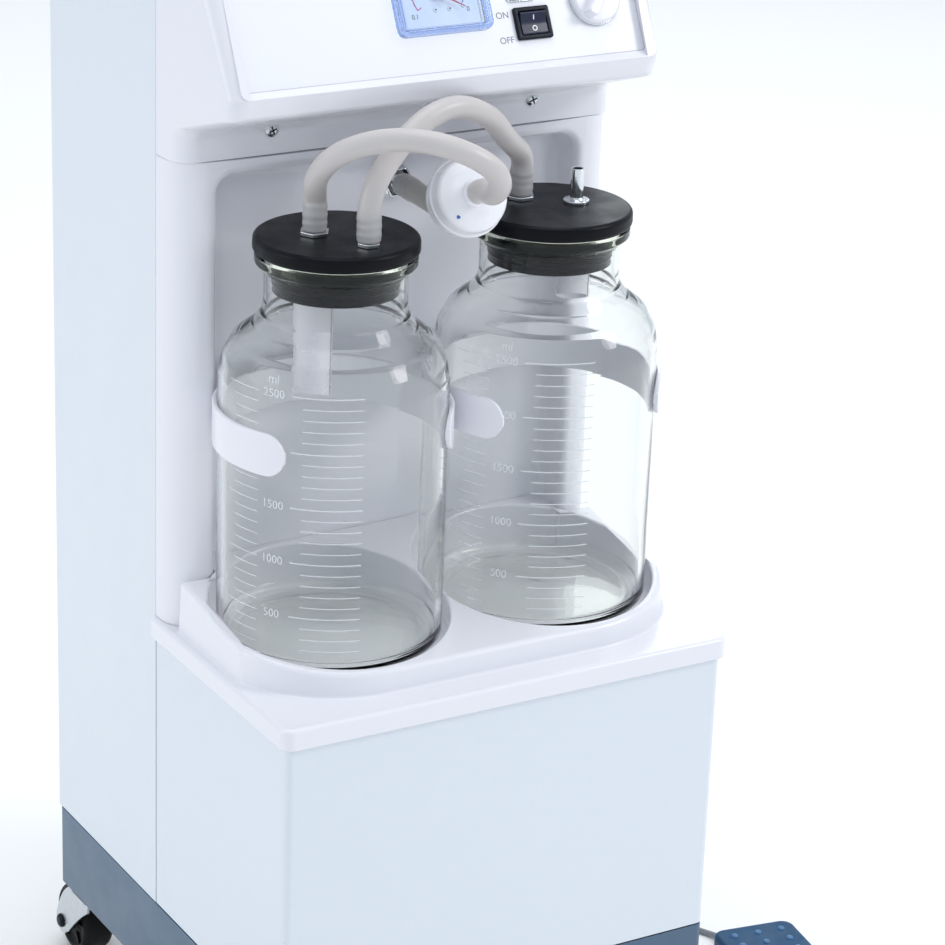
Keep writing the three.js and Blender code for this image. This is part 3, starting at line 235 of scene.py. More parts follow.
def clear_glass(name):
    """Pressed soda glass: clear, with a green cast in its thick foot and rim."""
    s = Shader(name, (0.965, 0.975, 0.965), 0.012, Transmission_Weight=1.0, IOR=1.4,
               Specular_Tint=(0.5, 0.5, 0.52, 1))
    foot = s.ramp(s.height(), 0.352, 0.338)
    rim = s.ramp(s.height(), 0.572, 0.583)
    s.tint(foot, (0.92, 0.95, 0.88))
    s.tint(rim, (0.88, 0.91, 0.78))
    s.bump(s.noise(26, 2, (1, 1, 0.3)), 0.12, 0.002)
    return s.lets_lamps_through(0.96).material


def silicone(name, color, aged):
    """Milky hose: light goes some way in, the metal inside the ends shows as grey."""
    s = Shader(name, color, 0.34, IOR=1.42, Transmission_Weight=0.14)
    s.tint(s.ramp(s.noise(14, 2), 0.35, 0.7, 0.0, 0.35), aged)
    s.tint(s.attribute("metal_inside"), (0.36, 0.38, 0.4))
    s.gloss(s.noise(30, 2), 0.28, 0.36)
    s.bump(s.noise(320, 1), 0.05, 0.0003)
    return s.material


def metal(name, color, low, high, scratch=(1, 1, 1), grain=600, depth=0.05):
    """Bare or plated metal: cloudy gloss and fine drawn marks."""
    s = Shader(name, color, low, Metallic=1.0)
    s.tint(s.ramp(s.noise(50, 4), 0.4, 0.7, 0.0, 0.6), tuple(c * 0.82 for c in color))
    s.gloss(s.noise(140, 4), low, high)
    s.bump(s.noise(grain, 3, scratch), depth, 0.0003)
    return s.material


def plain_plastic(name, color, low, high, grain=520, strength=0.12, shine=0.5):
    """Textured technical plastic."""
    s = Shader(name, color, low, IOR=1.5, Specular_IOR_Level=shine)
    s.tint(s.ramp(s.noise(40, 3), 0.4, 0.75, 0.0, 0.5), tuple(min(1, c * 1.2 + 0.003) for c in color))
    s.gloss(s.noise(110, 3), low, high)
    s.bump(s.noise(grain, 2), strength, 0.0002)
    return s.material


def tinted_lens(name, color, share):
    """Clear moulded plastic with a blue cast."""
    s = Shader(name, color, 0.03, Transmission_Weight=0.97, IOR=1.4)
    s.bump(s.noise(60, 2), 0.02, 0.0006)
    return s.lets_lamps_through(share).material


def guard_plastic(name):
    s = Shader(name, (0.84, 0.83, 0.88), 0.3, Transmission_Weight=0.3, IOR=1.45)
    s.tint(s.ramp(s.noise(20, 1, (1, 1, 0.2)), 0.4, 0.7, 0.0, 0.3), (0.78, 0.76, 0.8))
    s.gloss(s.noise(40, 1), 0.24, 0.32)
    return s.lets_lamps_through(0.6).material


def ink(name, color, cover=1):
    s = Shader(name, color, 0.45, Alpha=cover)
    s.tint(s.ramp(s.noise(800, 3), 0.45, 0.75, 0.0, 0.5), tuple(min(1, c * 1.15 + 0.02) for c in color))
    s.gloss(s.noise(300, 2), 0.4, 0.55)
    return s.material


WHITE = moulded("white_abs", (0.83, 0.82, 0.87))
PLATE = moulded("face_white", (0.86, 0.855, 0.91), grain=480, gloss=(0.3, 0.4))
BLUE = powder_coat("light_blue_paint", (0.735, 0.775, 0.835), (0.68, 0.72, 0.78))
SKIRT = powder_coat("blue_grey_paint", (0.058, 0.114, 0.192), (0.1, 0.14, 0.19))
GLASS = clear_glass("jar_glass")
BLACK_RUBBER = rubber("black_rubber", (0.002, 0.0025, 0.0045))
HOSE = silicone("silicone", (0.68, 0.635, 0.625), (0.64, 0.59, 0.575))
HOSE_GREY = silicone("silicone_grey", (0.52, 0.5, 0.47), (0.47, 0.45, 0.42))
CHROME = metal("chrome", (0.78, 0.8, 0.83), 0.06, 0.2)
ZINC = metal("zinc", (0.62, 0.64, 0.67), 0.14, 0.34, grain=260, depth=0.14)
BRASS = metal("brass", (0.62, 0.45, 0.2), 0.2, 0.4)
ALUMINIUM = metal("aluminium", (0.6, 0.62, 0.65), 0.3, 0.5, grain=900, depth=0.2)
MOTOR = metal("motor_metal", (0.33, 0.36, 0.4), 0.38, 0.55, grain=800, depth=0.25)
GUARD = guard_plastic("guard_plastic")
LENS = tinted_lens("lens_blue", (0.76, 0.86, 1.0), 0.97)
LENS_EDGE = tinted_lens("lens_blue_edge", (0.48, 0.62, 0.98), 0.93)
DIAL = plain_plastic("dial_white", (0.82, 0.85, 0.95), 0.5, 0.6, 400, 0.03, 0.2)
BLACK_PLASTIC = plain_plastic("black_plastic", (0.004, 0.006, 0.014), 0.3, 0.42, shine=0.2)
ROCKER = plain_plastic("rocker_navy", (0.008, 0.012, 0.04), 0.2, 0.32, 500, 0.05)
WHEEL = plain_plastic("wheel_black", (0.004, 0.004, 0.005), 0.4, 0.6, 400, 0.12, 0.2)
STEEL_BLUE = plain_plastic("steel_blue", (0.02, 0.075, 0.16), 0.38, 0.52, 600, 0.15, 0.15)
STUD_BLUE = plain_plastic("stud_blue", (0.09, 0.2, 0.37), 0.4, 0.55, 500, 0.1, 0.3)
DARK_BLUE = plain_plastic("dark_blue_plastic", (0.012, 0.03, 0.07), 0.4, 0.6, shine=0.3)
CABLE = plain_plastic("cable_grey", (0.24, 0.25, 0.27), 0.42, 0.56)
FILTER_WHITE = moulded("filter_white", (0.9, 0.89, 0.93), grain=480, gloss=(0.2, 0.3))
NEEDLE_RED = plain_plastic("needle_red", (0.5, 0.02, 0.04), 0.35, 0.5)
INK_BLACK = ink("ink_black", (0.05, 0.05, 0.06))
INK_GREY = ink("ink_grey", (0.22, 0.22, 0.24))
INK_BLUE = ink("ink_blue", (0.1, 0.2, 0.6))
INK_RED = ink("ink_red", (0.55, 0.06, 0.2))
INK_WHITE = ink("ink_white", (0.9, 0.9, 0.92))
INK_SCALE = ink("ink_scale", (0.86, 0.88, 0.9), 0.55)
BADGE = plain_plastic("badge_grey", (0.2, 0.185, 0.17), 0.3, 0.45)
DOT_BLUE = ink("dot_blue", (0.03, 0.13, 0.5))


# ---- outlines
def rounded(corners, radii, steps=6, closed=True):
    """The corners' outline with each corner turned into an arc; a radius of 0 keeps it sharp."""
    corners = [Vector(c) for c in corners]
    radii = radii if isinstance(radii, (list, tuple)) else [radii] * len(corners)
    made = []
    last = len(corners) - 1
    for i, (corner, radius) in enumerate(zip(corners, radii)):
        if radius <= 0 or (not closed and i in (0, last)):
            made.append(corner)
            continue
        side_a, side_b = corners[i - 1] - corner, corners[(i + 1) % len(corners)] - corner
        shorter = min(side_a.length, side_b.length)
        if shorter < 1e-6 or abs(side_a.angle(side_b) - math.pi) < 0.01:
            made.append(corner)
            continue
        to_a, to_b = side_a.normalized(), side_b.normalized()
        half = to_a.angle(to_b) / 2
        radius = min(radius, 0.49 * shorter * math.tan(half))
        start = corner + to_a * (radius / math.tan(half))
        end = corner + to_b * (radius / math.tan(half))
        centre = corner + (to_a + to_b).normalized() * (radius / math.sin(half))
        a, b = start - centre, end - centre
        angle = a.angle(b)
        for k in range(steps + 1):
            t = k / steps
            share = [math.sin((1 - t) * angle), math.sin(t * angle)]
            made.append(centre + (a * share[0] + b * share[1]) / math.sin(angle))
    return made


def rectangle(x0, x1, y0, y1, radius, steps=6):
    return rounded([(x0, y0), (x1, y0), (x1, y1), (x0, y1)], radius, steps)


def centred(half_x, half_y, radius, steps=6, middle=(0, 0)):
    x, y = middle
    return rectangle(x - half_x, x + half_x, y - half_y, y + half_y, radius, steps)


def circle(x, y, radius, count=ROUND):
    """Counter-clockwise from +x."""
    turns = [2 * math.pi * k / count for k in range(count)]
    return [Vector((x + radius * math.cos(t), y + radius * math.sin(t))) for t in turns]


def outward(loop):
    """A counter-clockwise loop's outward normals, long enough at corners to keep its sides parallel."""
    made = []
    for i, point in enumerate(loop):
        a = point - loop[i - 1]
        b = loop[(i + 1) % len(loop)] - point
        normals = [Vector((d.y, -d.x)).normalized() for d in (a, b) if d.length > 1e-9]
        total = sum(normals, Vector((0, 0))).normalized()
        made.append(total / max(0.5, total.dot(normals[0])))
    return made


def inset(loop, distance):
    return [p - n * distance for p, n in zip(loop, outward(loop))]


def tiers(loop, pairs):
    """The loop once for each (inset, height) pair."""
    return [[(p.x, p.y, height) for p in inset(loop, distance)] for distance, height in pairs]


def quarter(steps):
    """(1 - cos, 1 - sin) at even steps of a quarter turn."""
    turns = [math.pi / 2 * k / steps for k in range(steps + 1)]
    return [(1 - math.cos(a), 1 - math.sin(a)) for a in turns]


def edge_profile(low, high, radius_low, radius_high, steps=4):
    """(inset, height) pairs up a wall from `low` to `high` with both edges rounded."""
    up = [(radius_low * s, low + radius_low * c) for c, s in quarter(steps)]
    over = [(radius_high * c, high - radius_high * s) for c, s in quarter(steps)]
    return (up if radius_low > 0 else [(0, low)]) + (over if radius_high > 0 else [(0, high)])


def smooth_path(points, step):
    """A centripetal Catmull-Rom curve through the points, sampled about every `step`."""
    pts = [Vector(p) for p in points]
    pts = [pts[0] * 2 - pts[1], *pts, pts[-1] * 2 - pts[-2]]
    made = [pts[1]]
    for i in range(1, len(pts) - 2):
        p0, p1, p2, p3 = pts[i - 1:i + 3]
        knots = [0.0]
        for a, b in ((p0, p1), (p1, p2), (p2, p3)):
            knots.append(knots[-1] + max((b - a).length, 1e-9) ** 0.5)
        count = max(2, math.ceil((p2 - p1).length / step))
        for k in range(1, count + 1):
            t = knots[1] + (knots[2] - knots[1]) * k / count

            def between(a, b, i0, i1):
                return (a * (knots[i1] - t) + b * (t - knots[i0])) / (knots[i1] - knots[i0])

            a1, a2, a3 = between(p0, p1, 0, 1), between(p1, p2, 1, 2), between(p2, p3, 2, 3)
            b1, b2 = between(a1, a2, 0, 2), between(a2, a3, 1, 3)
            made.append(between(b1, b2, 1, 2))
    return made


def lengths_along(path):
    made = [0.0]
    for a, b in zip(path, path[1:]):
        made.append(made[-1] + (b - a).length)
    return made


# ---- solids
def bands(rings, count, closed=False):
    """Quads between rings of `count` points each; closed joins the last ring to the first."""
    faces = []
    for k in range(rings if closed else rings - 1):
        here, there = k * count, (k + 1) % rings * count
        for i in range(count):
            j = (i + 1) % count
            faces.append((here + i, here + j, there + j, there + i))
    return faces


def fill(points, loops):
    """Triangles over the first loop of indices less the others, laid out in x and y."""
    flat = [i for loop in loops for i in loop]
    outlines = [[Vector((points[i][0], points[i][1], 0)) for i in loop] for loop in loops]
    return [tuple(flat[i] for i in tri) for tri in tessellate_polygon(outlines)]


class Solid:
    """Closed shells that make one piece, in the cabinet's millimetres."""

    def __init__(self):
        self.points = []
        self.faces = []
        self.kinds = []
        self.marks = {}

    def add(self, points, faces, place=None, kind=0):
        """place is a matrix or a function from a drawn point to its own."""
        base = len(self.points)
        drawn = [Vector(p) for p in points]
        if callable(place):
            drawn = [place(p) for p in drawn]
        elif place is not None:
            drawn = [place @ p for p in drawn]
        self.points += drawn
        self.faces += [tuple(base + i for i in face) for face in faces]
        self.kinds += [kind] * len(faces)
        return self

    def loft(self, rings, matrix=None, kind=0, closed=False):
        """Skin over rings of points, with flat ends; closed joins the last ring to the first."""
        count = len(rings[0])
        faces = bands(len(rings), count, closed)
        if not closed:
            faces.append(tuple(range(count))[::-1])
            faces.append(tuple(range((len(rings) - 1) * count, len(rings) * count)))
        return self.add([p for ring in rings for p in ring], faces, matrix, kind)

    def slab(self, outline, profile, matrix=None, kind=0):
        """An outline made thick, with (inset, height) pairs for its wall."""
        normals = outward(outline)
        rings = [
            [(p.x - n.x * d, p.y - n.y * d, h) for p, n in zip(outline, normals)] for d, h in profile
        ]
        return self.loft(rings, matrix, kind=kind)

    def plate(self, outline, holes, profile, hole_profile, matrix=None, kind=0):
        """A slab with holes; hole_profile's (inset, height) pairs go up the wall of each hole."""
        points, faces, tops, bottoms = [], [], [], []
        for loop, pairs in [(outline, profile)] + [(hole, hole_profile) for hole in holes]:
            normals = outward(loop)
            sign = 1 if loop is outline else -1
            base = len(points)
            for d, h in pairs:
                points += [
                    (p.x - sign * n.x * d, p.y - sign * n.y * d, h) for p, n in zip(loop, normals)
                ]
            count = len(loop)
            faces += [tuple(base + i for i in face) for face in bands(len(pairs), count)]
            bottoms.append(list(range(base, base + count)))
            tops.append(list(range(len(points) - count, len(points))))
        faces += fill(points, bottoms) + fill(points, tops)
        return self.add(points, faces, matrix, kind)

    def turn(self, profile, matrix=None, sides=ROUND, kind=0, closed=False):
        """A turned shape on the z axis from (radius, z) pairs."""
        rings = []
        for r, z in profile:
            rings.append([(p.x, p.y, z) for p in circle(0, 0, max(r, 0), sides)])
        return self.loft(rings, matrix, kind, closed)

    def lathe(self, corners, radii, steps, matrix=None, sides=ROUND, kind=0):
        """A turned shape from an open profile whose corners are rounded."""
        return self.turn(rounded(corners, radii, steps, closed=False), matrix, sides, kind)

    def sweep(self, path, radius, sides, bore=None):
        """A round tube along a path; radius is a number or a function of the length so far and of all."""
        along = lengths_along(path)
        tangents = [
            (path[min(i + 1, len(path) - 1)] - path[max(i - 1, 0)]).normalized()
            for i in range(len(path))
        ]
        side = tangents[0].orthogonal().normalized()
        outer, inner = [], []
        for i, point in enumerate(path):
            side = (side - tangents[i] * side.dot(tangents[i])).normalized()
            other = tangents[i].cross(side)
            size = radius(along[i], along[-1]) if callable(radius) else radius
            for made, r in ((outer, size), (inner, bore)):
                if r is not None:
                    made.append([
                        point + side * (r * p.x) + other * (r * p.y) for p in circle(0, 0, 1, sides)
                    ])
        if bore is None:
            return self.loft(outer)
        return self.loft(outer + inner[::-1], closed=True)


def add_to_scene(name, data, place=None):
    made = bpy.data.objects.new(name, data)
    if place:
        made.matrix_world = place
    bpy.context.scene.collection.objects.link(made)
    return made


def finish_mesh(name, solid, materials, sharp=38):
    mesh = bpy.data.meshes.new(name)
    mesh.from_pydata([world(p) for p in solid.points], [], solid.faces)
    for material in materials:
        mesh.materials.append(material)
    mesh.polygons.foreach_set("material_index", solid.kinds)
    for key, values in solid.marks.items():
        layer = mesh.attributes.new(key, "FLOAT", "POINT")
        layer.data.foreach_set("value", values)
    work = bmesh.new()
    work.from_mesh(mesh)
    bmesh.ops.remove_doubles(work, verts=work.verts, dist=2e-6)
    bmesh.ops.dissolve_degenerate(work, edges=work.edges, dist=1e-6)
    bmesh.ops.recalc_face_normals(work, faces=work.faces)
    work.to_mesh(mesh)
    work.free()
    mesh.shade_smooth()
    mesh.set_sharp_from_angle(angle=math.radians(sharp))
    return mesh


def piece(name, solid, materials, body="cabinet", extra=False, sharp=38, weighted=True):
    """A finished object from a solid, in the CAD node's place of the same name unless it's an extra."""
    stands_for = () if extra else (name,)
    materials = materials if isinstance(materials, (list, tuple)) else [materials]
    made = add_to_scene(name, finish_mesh(name, solid, materials, sharp))
    if weighted:
        normals = made.modifiers.new("flat_faces_stay_flat", "WEIGHTED_NORMAL")
        normals.keep_sharp = True
        normals.weight = 80
    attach(made, body)
    if stands_for:
        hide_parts(*stands_for)
    return made


def dress(node, material, width):
    """A CAD node that stays: its material, and small round edges of `width` mm."""
    shown = frame["nodes"][node]
    shown.data.materials.clear()
    shown.data.materials.append(material)
    shown.data.shade_smooth()
    weld = shown.modifiers.new("weld", "WELD")
    weld.merge_threshold = 5e-6
    if width:
        bevel = shown.modifiers.new("edges", "BEVEL")
        bevel.width = width * MM
        bevel.segments = 2
        bevel.limit_method = "ANGLE"
        bevel.angle_limit = math.radians(34)
    normals = shown.modifiers.new("flat_faces_stay_flat", "WEIGHTED_NORMAL")
    normals.weight = 80


# ---- camera, as the photograph was taken
YAW, PITCH, ROLL = (math.radians(a) for a in (30.834, 21.427, 2.155))
CAMERA_AT = (-971.5, -1753.9, 1192.5)
FOCAL_LENGTH = 125.56
SENSOR_WIDTH = 36


def place_camera():
    right = Vector((math.cos(YAW), -math.sin(YAW), 0))
    forward = Vector((math.sin(YAW) * math.cos(PITCH), math.cos(YAW) * math.cos(PITCH), -math.sin(PITCH)))
    up = right.cross(forward)
    across = right * math.cos(ROLL) + up * math.sin(ROLL)
    upward = up * math.cos(ROLL) - right * math.sin(ROLL)
    turn = Matrix((across, upward, -forward)).transposed().to_4x4()
    place = Matrix.Translation(world(CAMERA_AT)) @ turn
    camera = add_to_scene("camera", bpy.data.cameras.new("camera"), place)
    camera.data.lens = FOCAL_LENGTH
    camera.data.sensor_width = SENSOR_WIDTH
    camera.data.clip_end = 60
    bpy.context.scene.camera = camera


place_camera()

# ---- foot switch cable
GLAND_AT = Vector((20, 159.3, 150))
GLAND_LENGTH = 20
FLOOR_Z = CABLE_R + 0.1
COIL_AT = Vector((60, 262, 0))
COIL_R = 22
COIL_PITCH = 4.2
COIL_START = -80  # degrees round the coil
COIL_TURNS = 7 + 345 / 360
COIL_CELLS = [(1, 0), (0, 0), (-1, 0), (-1, 1), (-1, 2), (0, 2), (0, 1), (1, 1), (1, 2)]
MOVE_SPAN = 40  # degrees in which a turn moves on to its next place
TIE_HALF = 7.4
TIE_SPREAD = math.radians(13)  # half the band's width, round the coil


def foot_point(x, y, z):
    return FOOT @ Vector((x, y, z))


def coil_point(turned):
    """A point of the coil; its turns lie three by three, and each moves on to the next place."""
    lap = int(turned // 360)
    moves_from = 5 + MOVE_SPAN * (7 - lap)
    t = min(1, max(0, (turned - 360 * lap - moves_from) / MOVE_SPAN))
    t = t * t * (3 - 2 * t)
    here, there = COIL_CELLS[lap], COIL_CELLS[min(lap + 1, len(COIL_CELLS) - 1)]
    across = here[0] + (there[0] - here[0]) * t
    layer = here[1] + (there[1] - here[1]) * t
    angle = math.radians(COIL_START + turned)
    r = COIL_R + COIL_PITCH * across
    return COIL_AT + Vector((r * math.cos(angle), r * math.sin(angle), FLOOR_Z + COIL_PITCH * layer))


def cable_route():
    x, y, z = GLAND_AT
    y += GLAND_LENGTH
    cx, cy, _ = COIL_AT
    down = [
        (x, y - 5, z), (x, y + 5, z - 0.6), (x, y + 16, z - 9), (x, y + 22, z - 26), (x, y + 23, 96),
        (x, y + 22, 66), (x, y + 23, 36), (x + 0.8, y + 28, 15), (x + 3, y + 37, 5),
        (x + 9.5, y + 46.2, FLOOR_Z), (cx - 21, cy - 30.7, FLOOR_Z), (cx - 9, cy - 28.9, FLOOR_Z),
    ]
    per_turn = 16
    coil = [coil_point(k * 360 / per_turn) for k in range(round(COIL_TURNS * per_turn) + 1)]
    away = [
        (cx + 6, cy - 29, FLOOR_Z + 4.2), (cx + 18.4, cy - 29.5, FLOOR_Z), (cx + 34, cy - 28.5, FLOOR_Z),
        (cx + 70, cy - 28, FLOOR_Z), (cx + 110, cy - 42, FLOOR_Z), (cx + 144, cy - 76, FLOOR_Z),
        (226, 138, FLOOR_Z), (243, 82, FLOOR_Z), (257, 36, FLOOR_Z), (267, 4, FLOOR_Z),
        (275, -16, FLOOR_Z + 0.2), foot_point(-6.6, 85.5, 3.4), foot_point(-6, 77.5, 5.6),
        foot_point(-6, 69.5, 7.9), foot_point(-6, 60.5, 8),
    ]
    return down + coil + away


def make_tie():
    """A band round the coil's bundle."""
    section = rectangle(COIL_R - TIE_HALF, COIL_R + TIE_HALF, 0, 13.2, 3.4, 5)
    rings = []
    for k in range(9):
        turn = Matrix.Rotation(math.radians(90) + TIE_SPREAD * (k / 4 - 1), 4, "Z")
        shrink = 0.5 if k in (0, 8) else 0
        rings.append([COIL_AT + turn @ Vector((p.x, 0, p.y + 0.02)) for p in inset(section, shrink)])
    return piece("cable_tie_band", Solid().loft(rings), BLACK_PLASTIC, extra=True)


def make_cable():
    curve = bpy.data.curves.new("foot_cable", "CURVE")
    curve.dimensions = "3D"
    curve.bevel_depth = CABLE_R * MM
    curve.bevel_resolution = 5
    curve.resolution_u = 5
    curve.use_fill_caps = True
    spline = curve.splines.new("BEZIER")
    route = cable_route()
    spline.bezier_points.add(len(route) - 1)
    for knot, point in zip(spline.bezier_points, route):
        knot.co = world(point)
        knot.handle_left_type = knot.handle_right_type = "AUTO"
    curve.materials.append(CABLE)
    made = add_to_scene("foot_cable", curve)
    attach(made, "cabinet")
    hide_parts("foot_cable_rear", "foot_cable_floor", "foot_cable_coil")
    tie = make_tie()
    world((GLAND_AT.x, GLAND_AT.y + GLAND_LENGTH - 5, GLAND_AT.z))


make_cable()

# ---- hoses
FILTER_AT = Vector((3, -102, 618.4))
FILTER_AXIS = Vector((-0.08, -0.89, 0.45)).normalized()
FILTER_R, FILTER_HALF = 24.8, 14
FILTER_DOT = Vector((-13.2, -4.7, -11.6))  # from the middle of its face
LEFT_REAR = Vector((-88.2, -79, 0))
LEFT_FRONT = Vector((-69.5, -112.7, 0))
RIGHT_INNER = Vector((64.6, -64.2, 0))
PORT_AT = Vector((92.3, -85.6, 0))
HOSE_FOOT = 602.9
HOSE_BORE = 4.2
RIBS_AT = (4.5, 9.5, 14.5)  # where the barbs show, from the hose's end
BARBED_FOR = 18


def filter_point(along):
    return FILTER_AT + FILTER_AXIS * along


def make_hose(name, route, material, metal_ends, declared=True):
    """A hose that swells over what it is pushed on; metal_ends says which ends have a barb inside."""
    path = smooth_path(route, 3)
    total = lengths_along(path)[-1]
    sides = 40

    def swell(at):
        ends = [at] * metal_ends[0] + [total - at] * metal_ends[1]
        grown = 0.0
        for end in ends:
            grown += 0.35 / (1 + math.exp((end - BARBED_FOR) / 1.2))
            grown += sum(0.28 * math.exp(-((end - rib) / 1.3) ** 2) for rib in RIBS_AT)
        return grown

    def radius(at, whole):
        lip = 0.7 * math.exp(-min(at, whole - at) / 0.45)
        return HOSE_R + swell(at) - lip

    fine = [path[0]]
    for a, b in zip(path, path[1:]):
        fine += [a.lerp(b, k / 3) for k in (1, 2, 3)]
    solid = Solid().sweep(fine, radius, sides, HOSE_BORE)
    marks = [0.75 * swell(at) for at in lengths_along(fine)]
    solid.marks["metal_inside"] = [mark for mark in marks + marks[::-1] for _ in range(sides)]
    made = piece(name, solid, material, sharp=60, weighted=False)
    if declared:
        world(path[0])
        [world(p) for p in path]


def up_from(spot, *heights):
    return [(spot.x, spot.y, z) for z in heights]


make_hose(
    "hose_to_filter",
    up_from(LEFT_REAR, HOSE_FOOT, 612.9, 622.9) + [
        (-92, -87, 636), (-91, -99, 650), (-82.5, -112, 661), (-66, -128, 668.5), (-47, -146, 669.5),
        (-27, -156, 662.5), (-11, -157, 651.5), (-2.5, -150, 639.5), (-0.5, -138, 631),
        filter_point(25), filter_point(17.5),
    ],
    HOSE, (True, False),
)
make_hose(
    "hose_link",
    up_from(LEFT_FRONT, HOSE_FOOT, 612.9, 622.9) + [
        (-65, -111, 636), (-55, -109, 650), (-41, -106, 662.5), (-23, -102, 672), (-3, -98, 674.5),
        (23, -90, 664), (45, -78, 644), (62.6, -66.7, 627.9),
    ] + up_from(RIGHT_INNER, 614.9, HOSE_FOOT),
    HOSE, (True, True),
)
make_hose(
    "hose_wall",
    [
        filter_point(-17.5), filter_point(-29), (8, -62, 600.5), (9, -44, 600.5), (8, -22.3, 602),
        (8, -12.8, 602),
    ],
    HOSE_GREY, (False, True), declared=False,
)


BARB_R = 3.6  # outside of a spout or stem


def barbs(start, rise):
    """Three cones up a spout, every 5 mm from `start`."""
    return [
        corner for z in (start, start + 5, start + 10)
        for corner in ((BARB_R, z), (4.35, z + 1), (BARB_R, z + rise))
    ]


def make_nipple(name, spot, across):
    """A plated nipple screwed through the stopper: hexagon flange, barbed spout, stem below."""
    place = Matrix.Translation(spot)
    solid = Solid()
    solid.slab(rounded(circle(0, 0, across, 6), 1.2, 3), edge_profile(600.2, 602.7, 0.3, 0.5), place)
    spout = [(0, 598), (BARB_R, 598), (BARB_R, 604)] + barbs(604.3, 4.3)
    spout += [(3.4, 620.6), (2.8, 621.3), (2, 621.3), (2, 600), (0, 600)]
    solid.lathe(spout, 0.12, 1, place, 48)
    solid.turn([(0, 564), (2.4, 564), (BARB_R, 565), (BARB_R, 590.4), (0, 590.4)], place, 40)
    piece(name, solid, CHROME)


def make_port():
    """A plain plated tube through the right stopper, open for the patient's hose."""
    place = Matrix.Translation(PORT_AT)
    tube = [
        (0, 600.1), (8.3, 600.1), (8.3, 602.5), (5, 602.5), (4.2, 603.8), (4.2, 622.3), (3, 622.3),
        (3, 606), (0, 606),
    ]
    solid = Solid().lathe(tube, [0, 0.3, 0.8, 0.5, 0.6, 0.4, 0.3, 0.2, 0], 4, place, 64)
    solid.turn([(0, 564), (3, 564), (BARB_R, 564.6), (BARB_R, 590.4), (0, 590.4)], place, 40)
    piece("patient_port", solid, CHROME)


make_nipple("nipple_left_rear", LEFT_REAR, 9.7)
make_nipple("nipple_left_front", LEFT_FRONT, 7.6)
make_nipple("nipple_right", RIGHT_INNER, 9.2)
make_port()


# ---- filter and the nipple in the wall
def along_axis(origin, axis):
    turn = Vector(axis).to_track_quat("Z", "Y").to_matrix().to_4x4()
    return Matrix.Translation(origin) @ turn


def make_filter():
    """A disc filter: two smooth dished halves with a weld rim and a spout each way."""
    where = along_axis(FILTER_AT, FILTER_AXIS)
    solid = Solid()
    r, h = FILTER_R, FILTER_HALF
    outline = [
        (0, -h - 0.6), (r * 0.6, -h), (r - 2, -h + 3.5), (r - 0.9, -2.2), (r, -1.6), (r, 1.6),
        (r - 0.9, 2.2), (r - 2, h - 3.5), (r * 0.6, h), (0, h + 0.6),
    ]
    solid.lathe(outline, [0, 8, 4, 0.5, 0.6, 0.6, 0.5, 4, 8, 0], 6, where)
    for turn in (0, math.pi):
        face = where @ Matrix.Rotation(turn, 4, "X")
        hub = [(0, h - 0.5), (9, h - 0.5), (8.4, h + 1.6), (7.6, h + 3), (0, h + 3)]
        solid.lathe(hub, [0, 0.3, 0.8, 0.5, 0], 4, face, 72)
        spout = [(0, h + 2), (4.6, h + 2), (4.6, h + 9), (3.4, h + 11.5), (0, h + 11.5)]
        solid.lathe(spout, [0, 0, 0.6, 0.4, 0], 3, face, 40)
    piece("filter", solid, FILTER_WHITE)
    # A small blue dot marks the inlet side.
    dot = Solid()
    spot = along_axis(filter_point(h - 1.4) + FILTER_DOT, FILTER_AXIS)
    dot.turn([(0, -1.6), (1.2, -1.6), (1.2, 0.1), (1, 0.2), (0, 0.2)], spot, 32)
    piece("filter_mark", dot, DOT_BLUE, extra=True)


make_filter()


def make_wall_nipple():
    where = along_axis(Vector((8, -3.3, 602)), (0, -1, 0))
    solid = Solid()
    solid.lathe([(0, 0.15), (11, 0.15), (11, 1.4), (0, 1.4)], [0, 0.3, 0.5, 0], 3, where)
    solid.slab(rounded(circle(0, 0, 10.4, 6), 1.4, 3), edge_profile(1.3, 6, 0.2, 0.8), where)
    spout = [(0, 5.8), (5.4, 5.8), (5.4, 8.4), (BARB_R, 9)] + barbs(10, 4) + [(3, 26), (0, 26)]
    solid.turn(spout, where, 48)
    piece("wall_nipple", solid, CHROME)


make_wall_nipple()

# ---- jars
JAR_OUTSIDE = [
    (0, 339), (8, 338.7), (58, 336), (66, 337.2), (71, 344), (71, 512), (68.6, 524), (62.5, 535),
    (50.5, 544), (45, 552), (44, 559), (44, 579), (49.8, 583.4), (49.8, 588.4), (48.2, 589.7),
]
JAR_OUTSIDE_R = [0, 30, 5, 5, 5, 14, 14, 9, 9, 5, 8, 3.2, 2.2, 1, 0.8]
JAR_INSIDE = [
    (41.6, 589.7), (41.6, 558), (43, 549), (49, 541.2), (60, 532), (65.5, 522.5), (67.5, 511),
    (67.5, 348), (60, 342), (10, 343.3), (0, 343.5),
]
JAR_INSIDE_R = [0.9, 6, 6, 6, 10, 12, 12, 6, 8, 20, 0]


def jar_axis(side):
    return Vector((side * JAR_X, JAR_Y, 0))


def make_jar(name, side):
    place = Matrix.Translation(jar_axis(side))
    solid = Solid().lathe(JAR_OUTSIDE + JAR_INSIDE, JAR_OUTSIDE_R + JAR_INSIDE_R, 7, place, 160)
    piece(name, solid, GLASS, sharp=70, weighted=False)


def wrap(side, radius, azimuth, z):
    """Puts flat shapes in x, y (mm) and thickness z round a jar; azimuth in degrees, -90 is the front."""
    axis = jar_axis(side)

    def put(p):
        angle = math.radians(azimuth) + p.x / radius
        r = radius + p.z
        return axis + Vector((r * math.cos(angle), r * math.sin(angle), z + p.y))

    return put


INK_THICK = 0.06
CAPITAL = 0.73  # height of a capital letter as a share of the font's size


